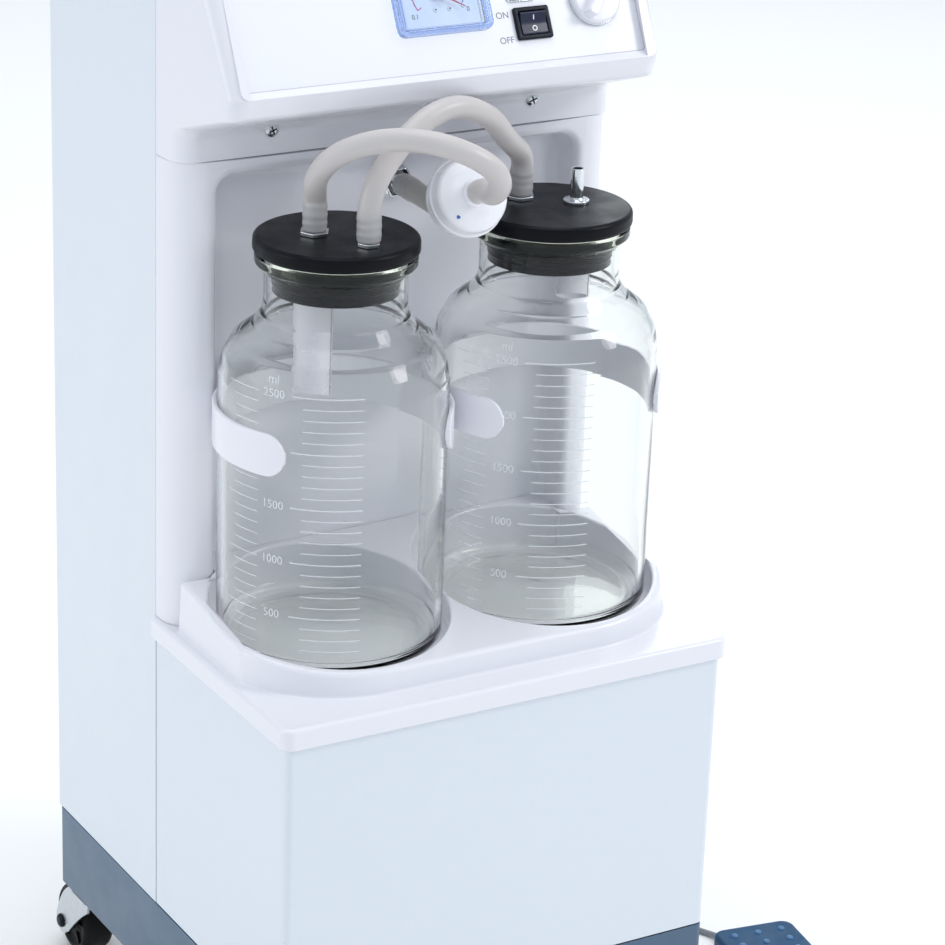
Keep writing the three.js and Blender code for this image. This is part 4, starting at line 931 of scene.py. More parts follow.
def text_shape(body, size, place, solid, kind=0):
    """Adds printed characters `size` high, in the middle of place's plane."""
    curve = bpy.data.curves.new("characters", "FONT")
    curve.body = body
    curve.size = size / CAPITAL
    curve.align_x = "CENTER"
    curve.align_y = "CENTER"
    curve.resolution_u = 6
    curve.extrude = INK_THICK / 2
    holder = add_to_scene("characters", curve)
    mesh = holder.evaluated_get(bpy.context.evaluated_depsgraph_get()).to_mesh()
    points = [v.co + Vector((0, 0, INK_THICK / 2)) for v in mesh.vertices]
    faces = [tuple(face.vertices) for face in mesh.polygons]
    holder.to_mesh_clear()
    bpy.data.objects.remove(holder)
    bpy.data.curves.remove(curve)
    solid.add(points, faces, place, kind)


def line_shape(length, width, place, solid):
    """A printed line from x = 0 to -length, cut fine enough to go round a jar."""
    count = max(1, round(length / 2.5))
    half = width / 2
    section = ((-half, 0), (half, 0), (half, INK_THICK), (-half, INK_THICK))
    solid.loft([[(-length * k / count, y, z) for y, z in section] for k in range(count + 1)], place)


def volume_height(millilitres):
    return 356.5 + (millilitres - 200) / 100 * 7.096


def make_scale(name, side, right_end):
    """White printed volumes: a line every 100 ml, a number every 500, and a finer row beside them."""
    solid = Solid()
    r = JAR_R + 0.05
    for volume in range(200, 2501, 100):
        z = volume_height(volume)
        major = volume % 500 == 0
        line_shape(44 if major else 37, 0.8 if major else 0.62, wrap(side, r, right_end, z), solid)
        line_shape(26 if major else 20, 0.5, wrap(side, r, right_end - 54, z), solid)
        if major:
            text_shape(str(volume), 5.4, wrap(side, r, right_end - 45, z), solid)
    text_shape("ml", 5.6, wrap(side, r, right_end - 45, volume_height(2500) + 9), solid)
    piece(name, solid, INK_SCALE, extra=True, weighted=False)


def make_stopper(label, side):
    """A moulded stopper: a disc with a soft edge over a ribbed plug."""
    disc = [(0, 600), (50.8, 600), (51, 590.2), (40.7, 590.2), (40.6, 589.4)]
    radii = [0, 3, 2.4, 0.3, 0.3]
    plug = []
    for k in range(4):
        top = 586.5 - 5.2 * k
        r = 40.4 - 0.42 * k
        plug += [(r, top), (r - 0.9, top - 1.1), (r - 0.9, top - 3.9), (r - 0.4, top - 5)]
    tail = [(38.7, 566), (34.4, 566), (34, 585), (0, 585)]
    radii += [0.5] * len(plug) + [1.2, 1, 2, 0]
    solid = Solid().lathe(disc + plug + tail, radii, 4, Matrix.Translation(jar_axis(side)), 128)
    piece(f"stopper_{label}", solid, BLACK_RUBBER)


def make_guard_tube(label, spot, radius, low):
    """An overflow guard: a thin tube with a slit along its side, a slanted lower edge and a lid."""
    high, wall, slit = 565.7, 1.6, 1.1
    slit_at, shortest_at = math.radians(-50), math.radians(-120)
    count = 72
    gap = slit / radius
    rings = []
    for k in range(count + 1):
        angle = slit_at + gap + (2 * math.pi - 2 * gap) * k / count
        along = Vector((math.cos(angle), math.sin(angle), 0))
        foot = low + 5 + 5 * math.cos(angle - shortest_at)
        section = rectangle(radius - wall, radius, foot, high - 2.4, 0.5, 3)
        rings.append([spot + along * p.x + Vector((0, 0, p.y)) for p in section])
    solid = Solid().loft(rings)
    lid = [(0, high - 2.2), (radius, high - 2.2), (radius, high), (0, high)]
    solid.lathe(lid, [0, 0.4, 0.8, 0], 3, Matrix.Translation(spot), 72)
    piece(f"guard_tube_{label}", solid, GUARD)


def make_clip(label, side):
    """A sprung band round the jar's back with round tips, moulded to a pad on the wall."""
    r0, r1, half, z = 71.5, 74.3, 13.5, 480.5
    start, end, count = -45, 219, 120
    axis = jar_axis(side)
    round_tip = math.degrees(half / r1)
    rings = []
    for k in range(count + 1):
        share = k / count
        share -= math.sin(2 * math.pi * share) / (2 * math.pi) * 0.75
        degrees = start + (end - start) * share
        reach = min(1, max(0.04, min(degrees - start, end - degrees) / round_tip))
        height = half * math.sqrt(1 - (1 - reach) ** 2)
        soft = min(0.9, height * 0.6)
        along = Vector((math.cos(math.radians(degrees)), math.sin(math.radians(degrees)), 0))
        section = rectangle(r0, r1, z - height, z + height, soft, 3)
        rings.append([axis + along * p.x + Vector((0, 0, p.y)) for p in section])
    solid = Solid().loft(rings)
    on_wall = Matrix.Translation((0, -3.6, 0)) @ Matrix.Rotation(math.pi / 2, 4, "X")
    solid.slab(centred(16, 13, 3, middle=(axis.x, z)), edge_profile(0, 5, 0.2, 1.2), on_wall)
    piece(f"jar_clip_{label}", solid, WHITE)


make_jar("jar_left", -1)
make_scale("jar_scale_left", -1, -103)
make_jar("jar_right", 1)
make_scale("jar_scale_right", 1, -96)
make_stopper("left", -1)
make_stopper("right", 1)
make_guard_tube("left", LEFT_REAR, 12, 492)
make_guard_tube("right", PORT_AT, 10.5, 534)
make_clip("left", -1)
make_clip("right", 1)

# ---- tray
WELL_R = 76
WELL_FLOOR = 335.7
PLATFORM_R = 83
PLATFORM_SIDE = 153
PLATFORM_WIDEST = 155.2
PLATFORM_BACK_HALF = 126.5


def platform_height(y):
    return 347 + 19 / 132 * (y + 160)


def platform_outline():
    """Round about each jar in front, straight behind, and deeper where the recess of the wall is."""
    start = math.acos((PLATFORM_SIDE - JAR_X) / PLATFORM_R)
    sweep = math.pi / 2 - start
    back, deep, wide = FRONT_PLANE - GAP, FRONT_PLANE + 24, PLATFORM_BACK_HALF
    loop = [(wide, deep), (-wide, deep), (-wide, back), (-PLATFORM_SIDE, back)]
    count = 30
    for x, first in ((-JAR_X, math.pi + start), (JAR_X, 1.5 * math.pi)):
        for k in range(count + 1):
            a = first + sweep * k / count
            loop.append((x + PLATFORM_R * math.cos(a), JAR_Y + PLATFORM_R * math.sin(a)))
    return [Vector(p) for p in loop + [(PLATFORM_SIDE, back), (wide, back)]]


def make_tray():
    """A moulded tray: a lip over the box, a raised sloping platform and a well for each jar."""
    points, faces = [], []

    def put(loop, height):
        base = len(points)
        points.extend(Vector((p.x, p.y, height(p) if callable(height) else height)) for p in loop)
        return list(range(base, base + len(loop)))

    def walls(loops):
        for low, high in zip(loops, loops[1:]):
            for i in range(len(low)):
                j = (i + 1) % len(low)
                faces.append((low[i], low[j], high[j], high[i]))

    rim = rounded([(-159.5, -188), (159.5, -188), (159.5, -GAP), (-159.5, -GAP)], [8, 8, 0, 0], 8)
    rim_out = outward(rim)

    def rim_inset(d):
        """The rim drawn in at its front and sides only."""
        return [
            Vector((p.x - n.x * d, -GAP if p.y > -1 else p.y - n.y * d)) for p, n in zip(rim, rim_out)
        ]

    steps = [(0.5, TRAY_LIP), (0, TRAY_LIP + 0.5)] + edge_profile(TRAY_LIP + 1, TRAY_TOP, 0, 3, 7)
    rim_loops = [put(rim_inset(d), h) for d, h in steps]
    walls(rim_loops)
    # Fillet from the lip up to the platform's wall, its drafted side, and the round edge on top.
    fillet, edge, draft = 2.4, 3.6, 0.9
    side_rings = [(2.6 - fillet * (1 - s), lambda p, c=c: TRAY_TOP + fillet * c) for c, s in quarter(6)]
    side_rings += [
        (-draft - edge * c, lambda p, s=s: platform_height(p.y) - edge * s) for c, s in quarter(7)
    ]
    outline = platform_outline()
    normals = outward(outline)
    side_loops = []
    for grow, height in side_rings:
        loop = []
        for p, n in zip(outline, normals):
            moved = p + n * grow
            moved.y = min(moved.y, FRONT_PLANE - GAP) if p.y < FRONT_PLANE else p.y
            moved.x = min(max(moved.x, -PLATFORM_WIDEST), PLATFORM_WIDEST)
            if abs(p.x) <= PLATFORM_BACK_HALF + 0.01:
                moved.x = p.x
            loop.append(moved)
        side_loops.append(put(loop, height))
    walls(side_loops)
    faces += fill(points, [rim_loops[-1], side_loops[0]])
    tops = [side_loops[-1]]
    lip, foot = 1.6, 3
    for x in (-JAR_X, JAR_X):
        well = [
            put(circle(x, JAR_Y, WELL_R + lip * s), lambda p, c=c: platform_height(p.y) - lip * c)
            for c, s in quarter(5)
        ]
        well += [put(circle(x, JAR_Y, WELL_R - foot * c), WELL_FLOOR + foot * s) for c, s in quarter(5)]
        walls(well)
        faces.append(tuple(well[-1]))
        tops.append(well[0])
    faces += fill(points, tops)
    # Underside: a shallow pocket that sits on the box.
    half, front, back = HALF_W + 0.4, BOX_FRONT - 0.4, -0.7
    corners = [(-half, front), (half, front), (half, back), (-half, back)]
    pocket = rounded(corners, [5, 5, 0.2, 0.2], 8)
    pocket_loops = [put(pocket, TRAY_LIP), put(pocket, TRAY_TOP - 4.6)]
    walls(pocket_loops)
    faces.append(tuple(pocket_loops[1]))
    faces += fill(points, [rim_loops[0], pocket_loops[0]])
    piece("tray", Solid().add(points, faces), WHITE, sharp=50)


make_tray()

# ---- upright moulding with the recess behind the jars
MOULD_FOOT = 331.3
MOULD_TOP = 636.2
MOULD_CORNER = 22
RECESS_HALF = 127
RECESS_TOP = 626
RECESS_CORNER = 12
RECESS_WALL = -3.3


def moulding_ring(half, top, corner, y):
    """Up the left side, across the top and down the right."""
    left = [Vector((-half, y, MOULD_FOOT + (top - corner - MOULD_FOOT) * k / 6)) for k in range(7)]
    turn = [Vector((-half + corner * c, y, top - corner * s)) for c, s in quarter(10)[1:-1]]
    flat = half - corner
    across = [Vector((-flat + 2 * flat * k / 8, y, top)) for k in range(9)]
    right = [Vector((-p.x, p.y, p.z)) for p in reversed(left + turn)]
    return left + turn + across + right


def make_front_moulding():
    """Rings from the recess's back over its foot, wall and brim to the front and the outer corners."""
    brim, foot, edge = 6, 10, 0.9
    rings = []

    def recess_ring(grow, y, corner, top_grow):
        rings.append(moulding_ring(RECESS_HALF + grow, RECESS_TOP + top_grow, RECESS_CORNER + corner, y))

    for inward in (60, 30):
        recess_ring(-inward, RECESS_WALL, 0, -inward)
    for c, s in quarter(8):
        grow = -foot - 1.5 + foot * (1 - s)
        recess_ring(grow, RECESS_WALL - foot * c, 3 + grow / 3, grow)
    for c, s in quarter(8):
        recess_ring(brim * c, FRONT_PLANE + brim * s, brim * c, min(brim * c, 8))
    flat = HALF_W - MOULD_CORNER
    rings.append(moulding_ring(flat, MOULD_TOP - edge, 1, FRONT_PLANE))
    for c, s in quarter(9)[1:]:
        # Along the top the same rings make a small round edge, then the moulding's upper side.
        ring = moulding_ring(flat + MOULD_CORNER * (1 - s), MOULD_TOP, 1, FRONT_PLANE + MOULD_CORNER * c)
        for p in ring:
            if p.z > MOULD_TOP - 1.2 and abs(p.x) < flat:
                p.z = MOULD_TOP - edge * s
        rings.append(ring)
    rings.append(moulding_ring(HALF_W, MOULD_TOP, 0.5, -GAP))
    count = len(rings[0])
    last = (len(rings) - 1) * count
    faces = [face for face in bands(len(rings), count) if face[1] > face[0]]
    faces.append(tuple(range(count)))
    faces.append(tuple(range(last, last + count)))
    feet = [k * count for k in range(len(rings))]
    faces.append(tuple(feet + [k + count - 1 for k in reversed(feet)]))
    solid = Solid().add([p for ring in rings for p in ring], faces)
    piece("front_moulding", solid, WHITE, sharp=50)


make_front_moulding()

# ---- console
RIM_SIDE = (141.5, 143)
RIM_LOW, RIM_HIGH = 1.2, 106.5
PLATE_HALF, PLATE_LOW, PLATE_HIGH = 139, 5.5, 101


def side_half(y):
    return HALF_W - 8 * max(0, -y) / 90


def console_ring(y, z, corner):
    half = side_half(y)
    outline = rounded([(-HALF_W, -GAP), (-half, y), (half, y), (HALF_W, -GAP)], [0, corner, corner, 0], 10)
    return [Vector((p.x, p.y, z)) for p in outline]


def face_recess():
    """Loops from the sloping face's rim over its soft edge and drafted side down to the plate's bed."""
    left, right = RIM_SIDE
    edge = 1.1
    rim = rounded([(-left, RIM_LOW), (right, RIM_LOW), (right - 1.5, RIM_HIGH), (1 - left, RIM_HIGH)], 4)
    half, low, high = PLATE_HALF + 0.2, PLATE_LOW - 0.2, PLATE_HIGH + 0.2
    plate = rectangle(-half, half, low, high, 2)
    loops = [
        [(p.x + n.x * edge * s, p.y + n.y * edge * s, -edge * c) for p, n in zip(rim, outward(rim))]
        for c, s in quarter(6)
    ]
    for t in (0.2, 0.4, 0.6, 0.8, 1):
        z = -edge - (FACE_DEEP - 1.5) * t
        loops.append([(a.x + (b.x - a.x) * t, a.y + (b.y - a.y) * t, z) for a, b in zip(rim, plate)])
    return loops + [[(p.x, p.y, -8) for p in plate]]


def make_console():
    """A nose of stacked rings, and a sloping face with a sunken place for the plate."""
    profile = rounded(
        [(FRONT_PLANE, SEAM_Z), (FRONT_PLANE, 656), (-86, 676), (-90, 690)], [0, 9, 6, 0], 8, closed=False)
    levels = [(p.x, p.y) for p in profile]
    levels[0] = (FRONT_PLANE + 0.4, SEAM_Z)
    levels.insert(1, (FRONT_PLANE, SEAM_Z + 0.4))
    rings = [console_ring(y, z, 22 - 10 * min(1, max(0, (z - 656) / 20))) for y, z in levels]
    rings.append(console_ring(CAP_FRONT, CAP_Z - GAP, 12))
    count = len(rings[0])
    low, high = rings[-2:]
    # The flat front of the last step is left open, for the face with its recess.
    open_at = next(i for i in range(count - 1) if high[i + 1].x - high[i].x > HALF_W)
    faces = bands(len(rings), count)
    del faces[(len(rings) - 2) * count + open_at]
    faces.append(tuple(range(count))[::-1])
    faces.append(tuple(range((len(rings) - 1) * count, len(rings) * count)))
    solid = Solid().add([p for ring in rings for p in ring], faces)
    # The face, in its own plane.
    place = console_matrix(0)
    to_face = place.inverted()
    edge = [to_face @ p for p in (low[open_at], low[open_at + 1], high[open_at + 1], high[open_at])]
    loops = face_recess()
    points = [p for loop in loops for p in loop]
    count = len(loops[0])
    faces = bands(len(loops), count)
    outer = list(range(len(points), len(points) + len(edge)))
    points += [tuple(p) for p in edge]
    faces += fill(points, [outer, list(range(count))])
    faces.append(tuple((len(loops) - 1) * count + i for i in range(count)))
    solid.add(points, faces, place)
    piece("console_moulding", solid, WHITE, sharp=48)


make_console()


def make_console_screw(name, x):
    """A dark cross-head screw in a dimple of the moulding; its cross is raised black bars, painted shade
    for the cross's recess.
    """
    where = along_axis(Vector((x, FRONT_PLANE, 652)), (0, -1, 0))
    head = [(0, -0.2), (4.4, -0.2), (4.4, 0.9), (2.6, 2.1), (0, 2.3)]
    solid = Solid().lathe(head, [0, 0.2, 0.6, 1.5, 0], 4, where, 40)
    # The cross is painted shade: black bars on the head stand in for the shadowed recess.
    for degrees in (20, 110):
        painted_shade_slot_at = where @ Matrix.Rotation(math.radians(degrees), 4, "Z")
        solid.slab(centred(2.6, 0.45, 0.2, 2), [(0, 2.0), (0, 2.45)], painted_shade_slot_at, kind=1)
    solid.turn([(4.6, -0.05), (6.2, -0.05), (6.0, 0.25), (4.9, 0.3)], where, 48, kind=2, closed=True)
    piece(name, solid, [ZINC, BLACK_PLASTIC, WHITE])


make_console_screw("console_screw_left", -92)
make_console_screw("console_screw_right", 92)


def make_top_cap():
    """A shallow lid: its front carries the console's slope on, and its edges roll over to a flat top."""
    profile = [(0, CAP_Z), (0, 809), (1.2, 812.5), (6, 814.9), (12, TOP_Z)]
    rings = []
    for inward, z in rounded(profile, [0, 2, 3, 4, 0], 5, closed=False):
        front = CAP_FRONT + (z - CAP_Z) * 0.45 + inward * 1.1
        side, back = HALF_W - inward * 0.5, BACK - inward * 0.5
        corners = [(-side, back), (4 - side, front), (side - 4, front), (side, back)]
        rings.append([(p.x, p.y, z) for p in rounded(corners, [6, 12, 12, 6], 7)])
    piece("top_cap", Solid().loft(rings), WHITE, sharp=50)


make_top_cap()


def make_handle():
    """A padded push bar on two feet."""
    z0 = TOP_Z - 0.7
    half = [(-105, 118, 3), (-105, 120, 14), (-97, 133.4, 34), (-75, 140, 42), (-30, 140, 43)]
    route = [(x, y, z0 + z) for x, y, z in half + [(-x, y, z) for x, y, z in reversed(half)]]
    solid = Solid().sweep(smooth_path(route, 3), 10.9, 48)
    foot = [(0, 0), (17, 0), (17, 3), (13, 6), (12.4, 11), (11, 13), (0, 13)]
    for x in (-105, 105):
        solid.lathe(foot, [0, 0.4, 1.2, 3, 3, 1, 0], 5, Matrix.Translation((x, 118, z0)), 72)
    piece("push_handle", solid, WHITE, sharp=60)


make_handle()

# ---- face plate and what is on it
FACE = console_matrix()


def on_face(x, s, z=0):
    return FACE @ Matrix.Translation((x, s, z))


def make_face_plate():
    plate = rectangle(-PLATE_HALF, PLATE_HALF, PLATE_LOW, PLATE_HIGH, 2)
    holes = [
        centred(29.5, 22.5, 3, middle=GAUGE_AT),
        centred(11, 9, 1, middle=SWITCH_AT),
        circle(*KNOB_AT, 5, 32),
    ]
    wall, hole_wall = edge_profile(-2, 0, 0.2, 0.4), edge_profile(-2, 0, 0.1, 0.1, 2)
    piece("face_plate", Solid().plate(plate, holes, wall, hole_wall, FACE), PLATE)


make_face_plate()

NEEDLE_LENGTH = 19
DIAL_Z = -0.6
ZERO_AT = -30  # degrees from the x axis to the needle at rest
SWING = 240
ARC_R = 17.3
RED_FROM = 0.86  # share of the scale


def make_dial_print():
    """Arc with its marks, its last part red, then the numbers and the unit."""
    marks = Solid()
    gx, gy = GAUGE_AT
    ink_z = DIAL_Z + 0.05

    def turn_at(share):
        return math.radians(ZERO_AT + SWING * share)

    def stroke(start, end, width, kind, steps):
        """An arc between two shares of the scale."""
        section = ((-width, 0), (width, 0), (width, INK_THICK), (-width, INK_THICK))
        rings = []
        for k in range(steps + 1):
            turn = turn_at(start + (end - start) * k / steps)
            across = Vector((math.cos(turn), math.sin(turn)))
            rings.append([
                (gx + across.x * (ARC_R + r), gy + across.y * (ARC_R + r), ink_z + h) for r, h in section
            ])
        marks.loft(rings, FACE, kind=kind)

    stroke(0, RED_FROM, 0.2, 1, 60)
    stroke(RED_FROM, 1, 0.34, 2, 12)
    ticks = 20
    for k in range(ticks + 1):
        inner, outer, half, kind = ARC_R, ARC_R + (0.9 if k % 4 else 1.6), 0.16, 0
        if k == ticks:
            inner, outer, half, kind = ARC_R - 3.2, ARC_R, 0.28, 2
        spot = on_face(gx, gy, ink_z) @ Matrix.Rotation(turn_at(k / ticks), 4, "Z")
        tick = rectangle(inner, outer, -half, half, 0.03, 1)
        marks.slab(tick, [(0, 0), (0, INK_THICK)], spot, kind=kind)
    for k, word in enumerate(("0.02", "0.04", "0.06", "0.08")):
        turn = turn_at((k + 1) / 5)
        r = ARC_R - 4.6
        text_shape(word, 1.9, on_face(gx + r * math.cos(turn), gy + r * math.sin(turn), ink_z), marks)
    text_shape("0.1", 3, on_face(gx - 17.6, gy - 12.6, ink_z), marks)
    text_shape("0", 3, on_face(gx + 19.4, gy - 10.6, ink_z), marks)
    text_shape("MPa", 2.4, on_face(gx, gy + 7, ink_z), marks, kind=1)
    inks = [INK_BLACK, INK_BLUE, INK_RED]
    piece("gauge_dial_print", marks, inks, extra=True, weighted=False)


def make_gauge_body():
    """A tub behind the plate, with the dial on its floor and two little screws through it."""
    gx, gy = GAUGE_AT
    case = Solid()
    outer, inner = centred(29, 22, 3, middle=GAUGE_AT), centred(27, 20, 2, middle=GAUGE_AT)
    rings = tiers(outer, ((0.6, -26), (0, -25.4), (0, -0.6), (0.5, -0.1)))
    rings += tiers(inner, ((-0.5, -0.1), (0, -0.6), (0, DIAL_Z - 1)))
    case.loft(rings, FACE)
    dial = centred(26.8, 19.8, 1.8, middle=GAUGE_AT)
    case.slab(dial, edge_profile(DIAL_Z - 1.2, DIAL_Z, 0.1, 0.2, 2), FACE, kind=1)
    case.turn([(0, -0.8), (2.4, -0.8), (2.4, 0.9), (2, 1.3), (0, 1.3)], on_face(gx, gy), 32, kind=2)
    for dx in (-3, 6.7):
        spot = on_face(gx + dx, gy - 9.3, DIAL_Z)
        case.turn([(0, -0.1), (1.7, -0.1), (1.5, 0.5), (0.8, 0.8), (0, 0.8)], spot, 24)
        # The black dot on each screw's head is painted shade for its recess.
        case.turn([(0, 0.7), (0.55, 0.7), (0.55, 0.9), (0, 0.9)], spot, 16, kind=3)
    piece("gauge_body", case, [WHITE, DIAL, CHROME, BLACK_PLASTIC])


def make_needle():
    """Drawn pointing at zero: a tapered blade with a tail and a hub."""
    spot = on_face(*GAUGE_AT) @ Matrix.Rotation(math.radians(ZERO_AT), 4, "Z")
    blade = rounded([(-5, -1), (NEEDLE_LENGTH, -0.2), (NEEDLE_LENGTH, 0.2), (-5, 1)], 0.12, 2)
    needle = Solid().slab(blade, edge_profile(2, 2.6, 0.1, 0.1, 2), spot)
    needle.turn([(0, 1.6), (3.2, 1.6), (3.2, 2.9), (2.6, 3.4), (0, 3.4)], spot, 32, kind=1)
    piece("gauge_needle", needle, [NEEDLE_RED, BLACK_PLASTIC], body="needle")


def make_lens():
    """A clear blue tray turned over, with deeper blue walls."""
    shell, hollow = centred(32, 25, 5, 8, GAUGE_AT), centred(29.4, 22.4, 3.2, 8, GAUGE_AT)
    rings = tiers(shell, reversed(edge_profile(0.3, 8, 0.3, 2.6, 7)))
    rings += tiers(hollow, edge_profile(0.3, 5.9, 0, 1.8, 6))
    lens = Solid().loft(rings, FACE, kind=1)
    lens.kinds = [0 if len(face) > 4 else 1 for face in lens.faces]
    piece("gauge_lens", lens, [LENS, LENS_EDGE], sharp=60)


make_gauge_body()
make_dial_print()
make_needle()
make_lens()


def make_switch():
    place = on_face(*SWITCH_AT)
    surround = Solid().plate(
        centred(12.5, 10.2, 1.6), [centred(9.5, 7.4, 0.8)],
        edge_profile(0.3, 2.3, 0.1, 0.9), edge_profile(0.3, 2.3, 0, 0.5), place)
    surround.plate(
        centred(10.6, 8.6, 0.8), [centred(9.6, 7.5, 0.6)],
        [(0, -18), (0, 0.6)], [(0, -17.5), (0, 0.6)], place)
    surround.slab(centred(9.8, 7.7, 0.6), [(0, -18), (0, -16.5)], place)
    piece("switch_frame", surround, BLACK_PLASTIC)
    # The rocker in its own section: y up the slope, z outward, tipped as it rests.
    section = rounded(
        [(-7, -1), (-4.2, -5.5), (4.2, -5.5), (7, -1), (7, 3.4), (0, 2.1), (-7, 3.4)],
        [0.8, 0.8, 0.8, 0.8, 0.9, 9, 0.9], 5)
    tipped = place @ Matrix.Rotation(math.radians(7), 4, "X")
    ends = ((-9.1, 0.5), (-8.95, 0.15), (-8.6, 0), (8.6, 0), (8.95, 0.15), (9.1, 0.5))
    rocker = Solid().loft([[(x, p.x, p.y) for p in inset(section, d)] for x, d in ends], tipped)
    piece("switch_rocker", rocker, ROCKER, body="rocker")

    def on_rocker(y):
        lean = math.copysign(math.atan2(1.3, 7), y)
        z = 2.1 + 1.3 * abs(y) / 7 + 0.12
        return tipped @ Matrix.Translation((0, y, z)) @ Matrix.Rotation(lean, 4, "X")

    printed = Solid().slab(centred(0.32, 1.5, 0.1, 1), [(0, 0), (0, 0.1)], on_rocker(3.4))
    printed.turn([(1.15, 0), (1.75, 0), (1.75, 0.1), (1.15, 0.1)], on_rocker(-3.3), 40, closed=True)
    piece("switch_rocker_print", printed, INK_WHITE, body="rocker", extra=True)
    words = Solid()
    text_shape("ON", 4.2, on_face(43.1, 35.8, 0.04), words)
    text_shape("OFF", 4.2, on_face(43, 20.2, 0.04), words)
    piece("switch_words", words, INK_GREY, extra=True, weighted=False)


def make_badge():
    """A plain plated badge above the switch."""
    spot = on_face(57.6, 48.2)
    badge = Solid().slab(centred(10, 5.2, 2.6), edge_profile(0, 0.9, 0, 0.6), spot)
    badge.slab(centred(8.6, 4, 2), edge_profile(0.8, 1.15, 0, 0.25, 2), spot, kind=1)
    piece("badge", badge, [CHROME, BADGE], extra=True)


make_switch()
make_badge()


def make_knob():
    """A flat disc in a chrome ring, with a raised grip bar across it that shows where it points."""
    place = on_face(*KNOB_AT)
    body = [(0, 0.9), (15.6, 0.9), (17, 1.6), (16.8, 4.4), (15.4, 5.4), (0, 5.7)]
    knob = Solid().lathe(body, [0, 0.3, 0.6, 1, 1.2, 0], 5, place)
    turn = place @ Matrix.Rotation(math.radians(52), 4, "Z")
    knob.slab(rectangle(-15.4, 15, -3.4, 3.4, 2.2), edge_profile(4.8, 12.4, 0, 1.2, 6), turn)
    knob.slab(rectangle(9.5, 14, -0.45, 0.45, 0.2, 2), [(0, 12.3), (0, 12.48)], turn, kind=1)
    ring = rounded([(16.2, 0.8), (17.8, 0.8), (17.6, 2.2), (16.2, 2.2)], [0.1, 0.5, 0.6, 0.1], 4)
    knob.turn(ring, place, kind=2, closed=True)
    piece("regulator_knob", knob, [WHITE, INK_BLUE, CHROME], body="knob")


make_knob()

# ---- folded steel
def make_sheets():
    """The box under the tray, open behind, and the skirt round its foot."""
    side, front = HALF_W, BOX_FRONT
    in_side, in_front = side - SHEET, front + SHEET
    back = -0.9
    box = rounded(
        [(-side, back), (-side, front), (side, front), (side, back), (in_side, back), (in_side, in_front),
         (-in_side, in_front), (-in_side, back)], [0.3, 5, 5, 0.3, 0.3, 3.5, 3.5, 0.3], 8)
    solid = Solid().slab(box, edge_profile(*BOX_Z, 0.4, 0.3))
    piece("lower_box", solid, BLUE, sharp=60)
    ring = rectangle(-side, side, front, BACK, 5, 8)
    inner = rectangle(-in_side, in_side, in_front, BACK - SHEET, 3.5, 8)
    outside, inside = edge_profile(*SKIRT_Z, 0.6, 0.5), edge_profile(*SKIRT_Z, 0.3, 0.3)
    piece("skirt", Solid().plate(ring, [inner], outside, inside), SKIRT, sharp=60)


make_sheets()

# ---- casters
# Turns a shape drawn in y and z, and thick along x.
ACROSS = Matrix(((0, 0, 1, 0), (1, 0, 0, 0), (0, 1, 0, 0), (0, 0, 0, 1)))
FORK_TOP = 60.3
FORK_IN = 16.6
FORK_SHEET = 2.2
TRAIL = 30
WHEEL_Z = 25


def bend(a, b, c, steps=10):
    """Points of the quadratic curve from a by b to c, without its first point."""
    return [
        Vector(a) * (1 - t) ** 2 + Vector(b) * (2 * t * (1 - t)) + Vector(c) * t * t
        for t in (k / steps for k in range(1, steps + 1))
    ]


def make_fork(label, here, wheel_at):
    """Two legs under a crown with its swivel race, the kingpin with its nut, and the axle's ends."""
    leg = [Vector((-16, FORK_TOP - 0.2)), Vector((-15, FORK_TOP - 8))]
    leg += bend((-15, FORK_TOP - 8), (2, 40), (TRAIL - 11, 21))
    for k in range(1, 22):
        a = -2.6 + 3.1 * k / 21
        leg.append(Vector((TRAIL + 9.5 * math.cos(a), WHEEL_Z + 9.5 * math.sin(a))))
    leg += bend(leg[-1], (30, 52), (14, FORK_TOP - 0.2), 12)
    outside = FORK_IN + FORK_SHEET
    fork = Solid()
    for low in (FORK_IN, -outside):
        fork.slab(leg, edge_profile(low, low + FORK_SHEET, 0.6, 0.6, 3), here @ ACROSS)
    crown = rectangle(-outside, outside, -16, 14, 3, 5)
    fork.slab(crown, edge_profile(FORK_TOP - 2.6, FORK_TOP, 0.3, 0.9), here)
    race = [(0, -7), (11, -7), (14, -4.6), (14, -2), (0, -2)]
    fork.lathe([(r, FORK_TOP + z) for r, z in race], [0, 1, 1.4, 0.3, 0], 4, here, 64)
    fork.turn([(0, 57), (5, 57), (5, 73.6), (0, 73.6)], here, 32)
    fork.slab(rounded(circle(0, 0, 9, 6), 0.6, 2), edge_profile(66.9, 72.1, 0.4, 0.8), here)
    reach = FORK_IN + 0.2
    fork.turn([(0, -reach), (3, -reach), (3, reach), (0, reach)], wheel_at, 32, kind=1)
    head = [(r, FORK_IN + z) for r, z in ((0, 2), (5, 2), (5, 3.2), (3.6, 4.6), (0, 4.9))]
    for turn in (0, math.pi):
        flip = Matrix.Rotation(turn, 4, "X")
        fork.lathe(head, [0, 0.2, 0.5, 1.2, 0], 4, wheel_at @ flip, 40, kind=1)
    piece(f"caster_fork_{label}", fork, [ZINC, BLACK_PLASTIC], body=f"swivel_{label}")


def make_wheel(label, wheel_at):
    """A twin tread with a deep waist, and six spokes on each face."""
    half = [(3.3, 15.6), (7, 15.6), (8, 11), (12, 8.6), (18.6, 8.6), (21, 12.6), (25, 9)]
    radii = [0.4, 0.8, 1.5, 1.5, 1.5, 2, 4.5]
    section = [(r, -z) for r, z in half] + half[::-1]
    tyre = Solid().turn(rounded(section, radii + radii[::-1], 6), wheel_at, closed=True)
    for low, high in ((8.2, 10.4), (-10.4, -8.2)):
        for k in range(6):
            spoke = wheel_at @ Matrix.Rotation(math.pi * k / 3, 4, "Z")
            tyre.slab(rectangle(7, 19.4, -1, 1, 0.4, 2), edge_profile(low, high, 0.3, 0.5, 2), spoke)
    piece(f"caster_wheel_{label}", tyre, WHEEL, body=f"wheel_{label}", sharp=50)


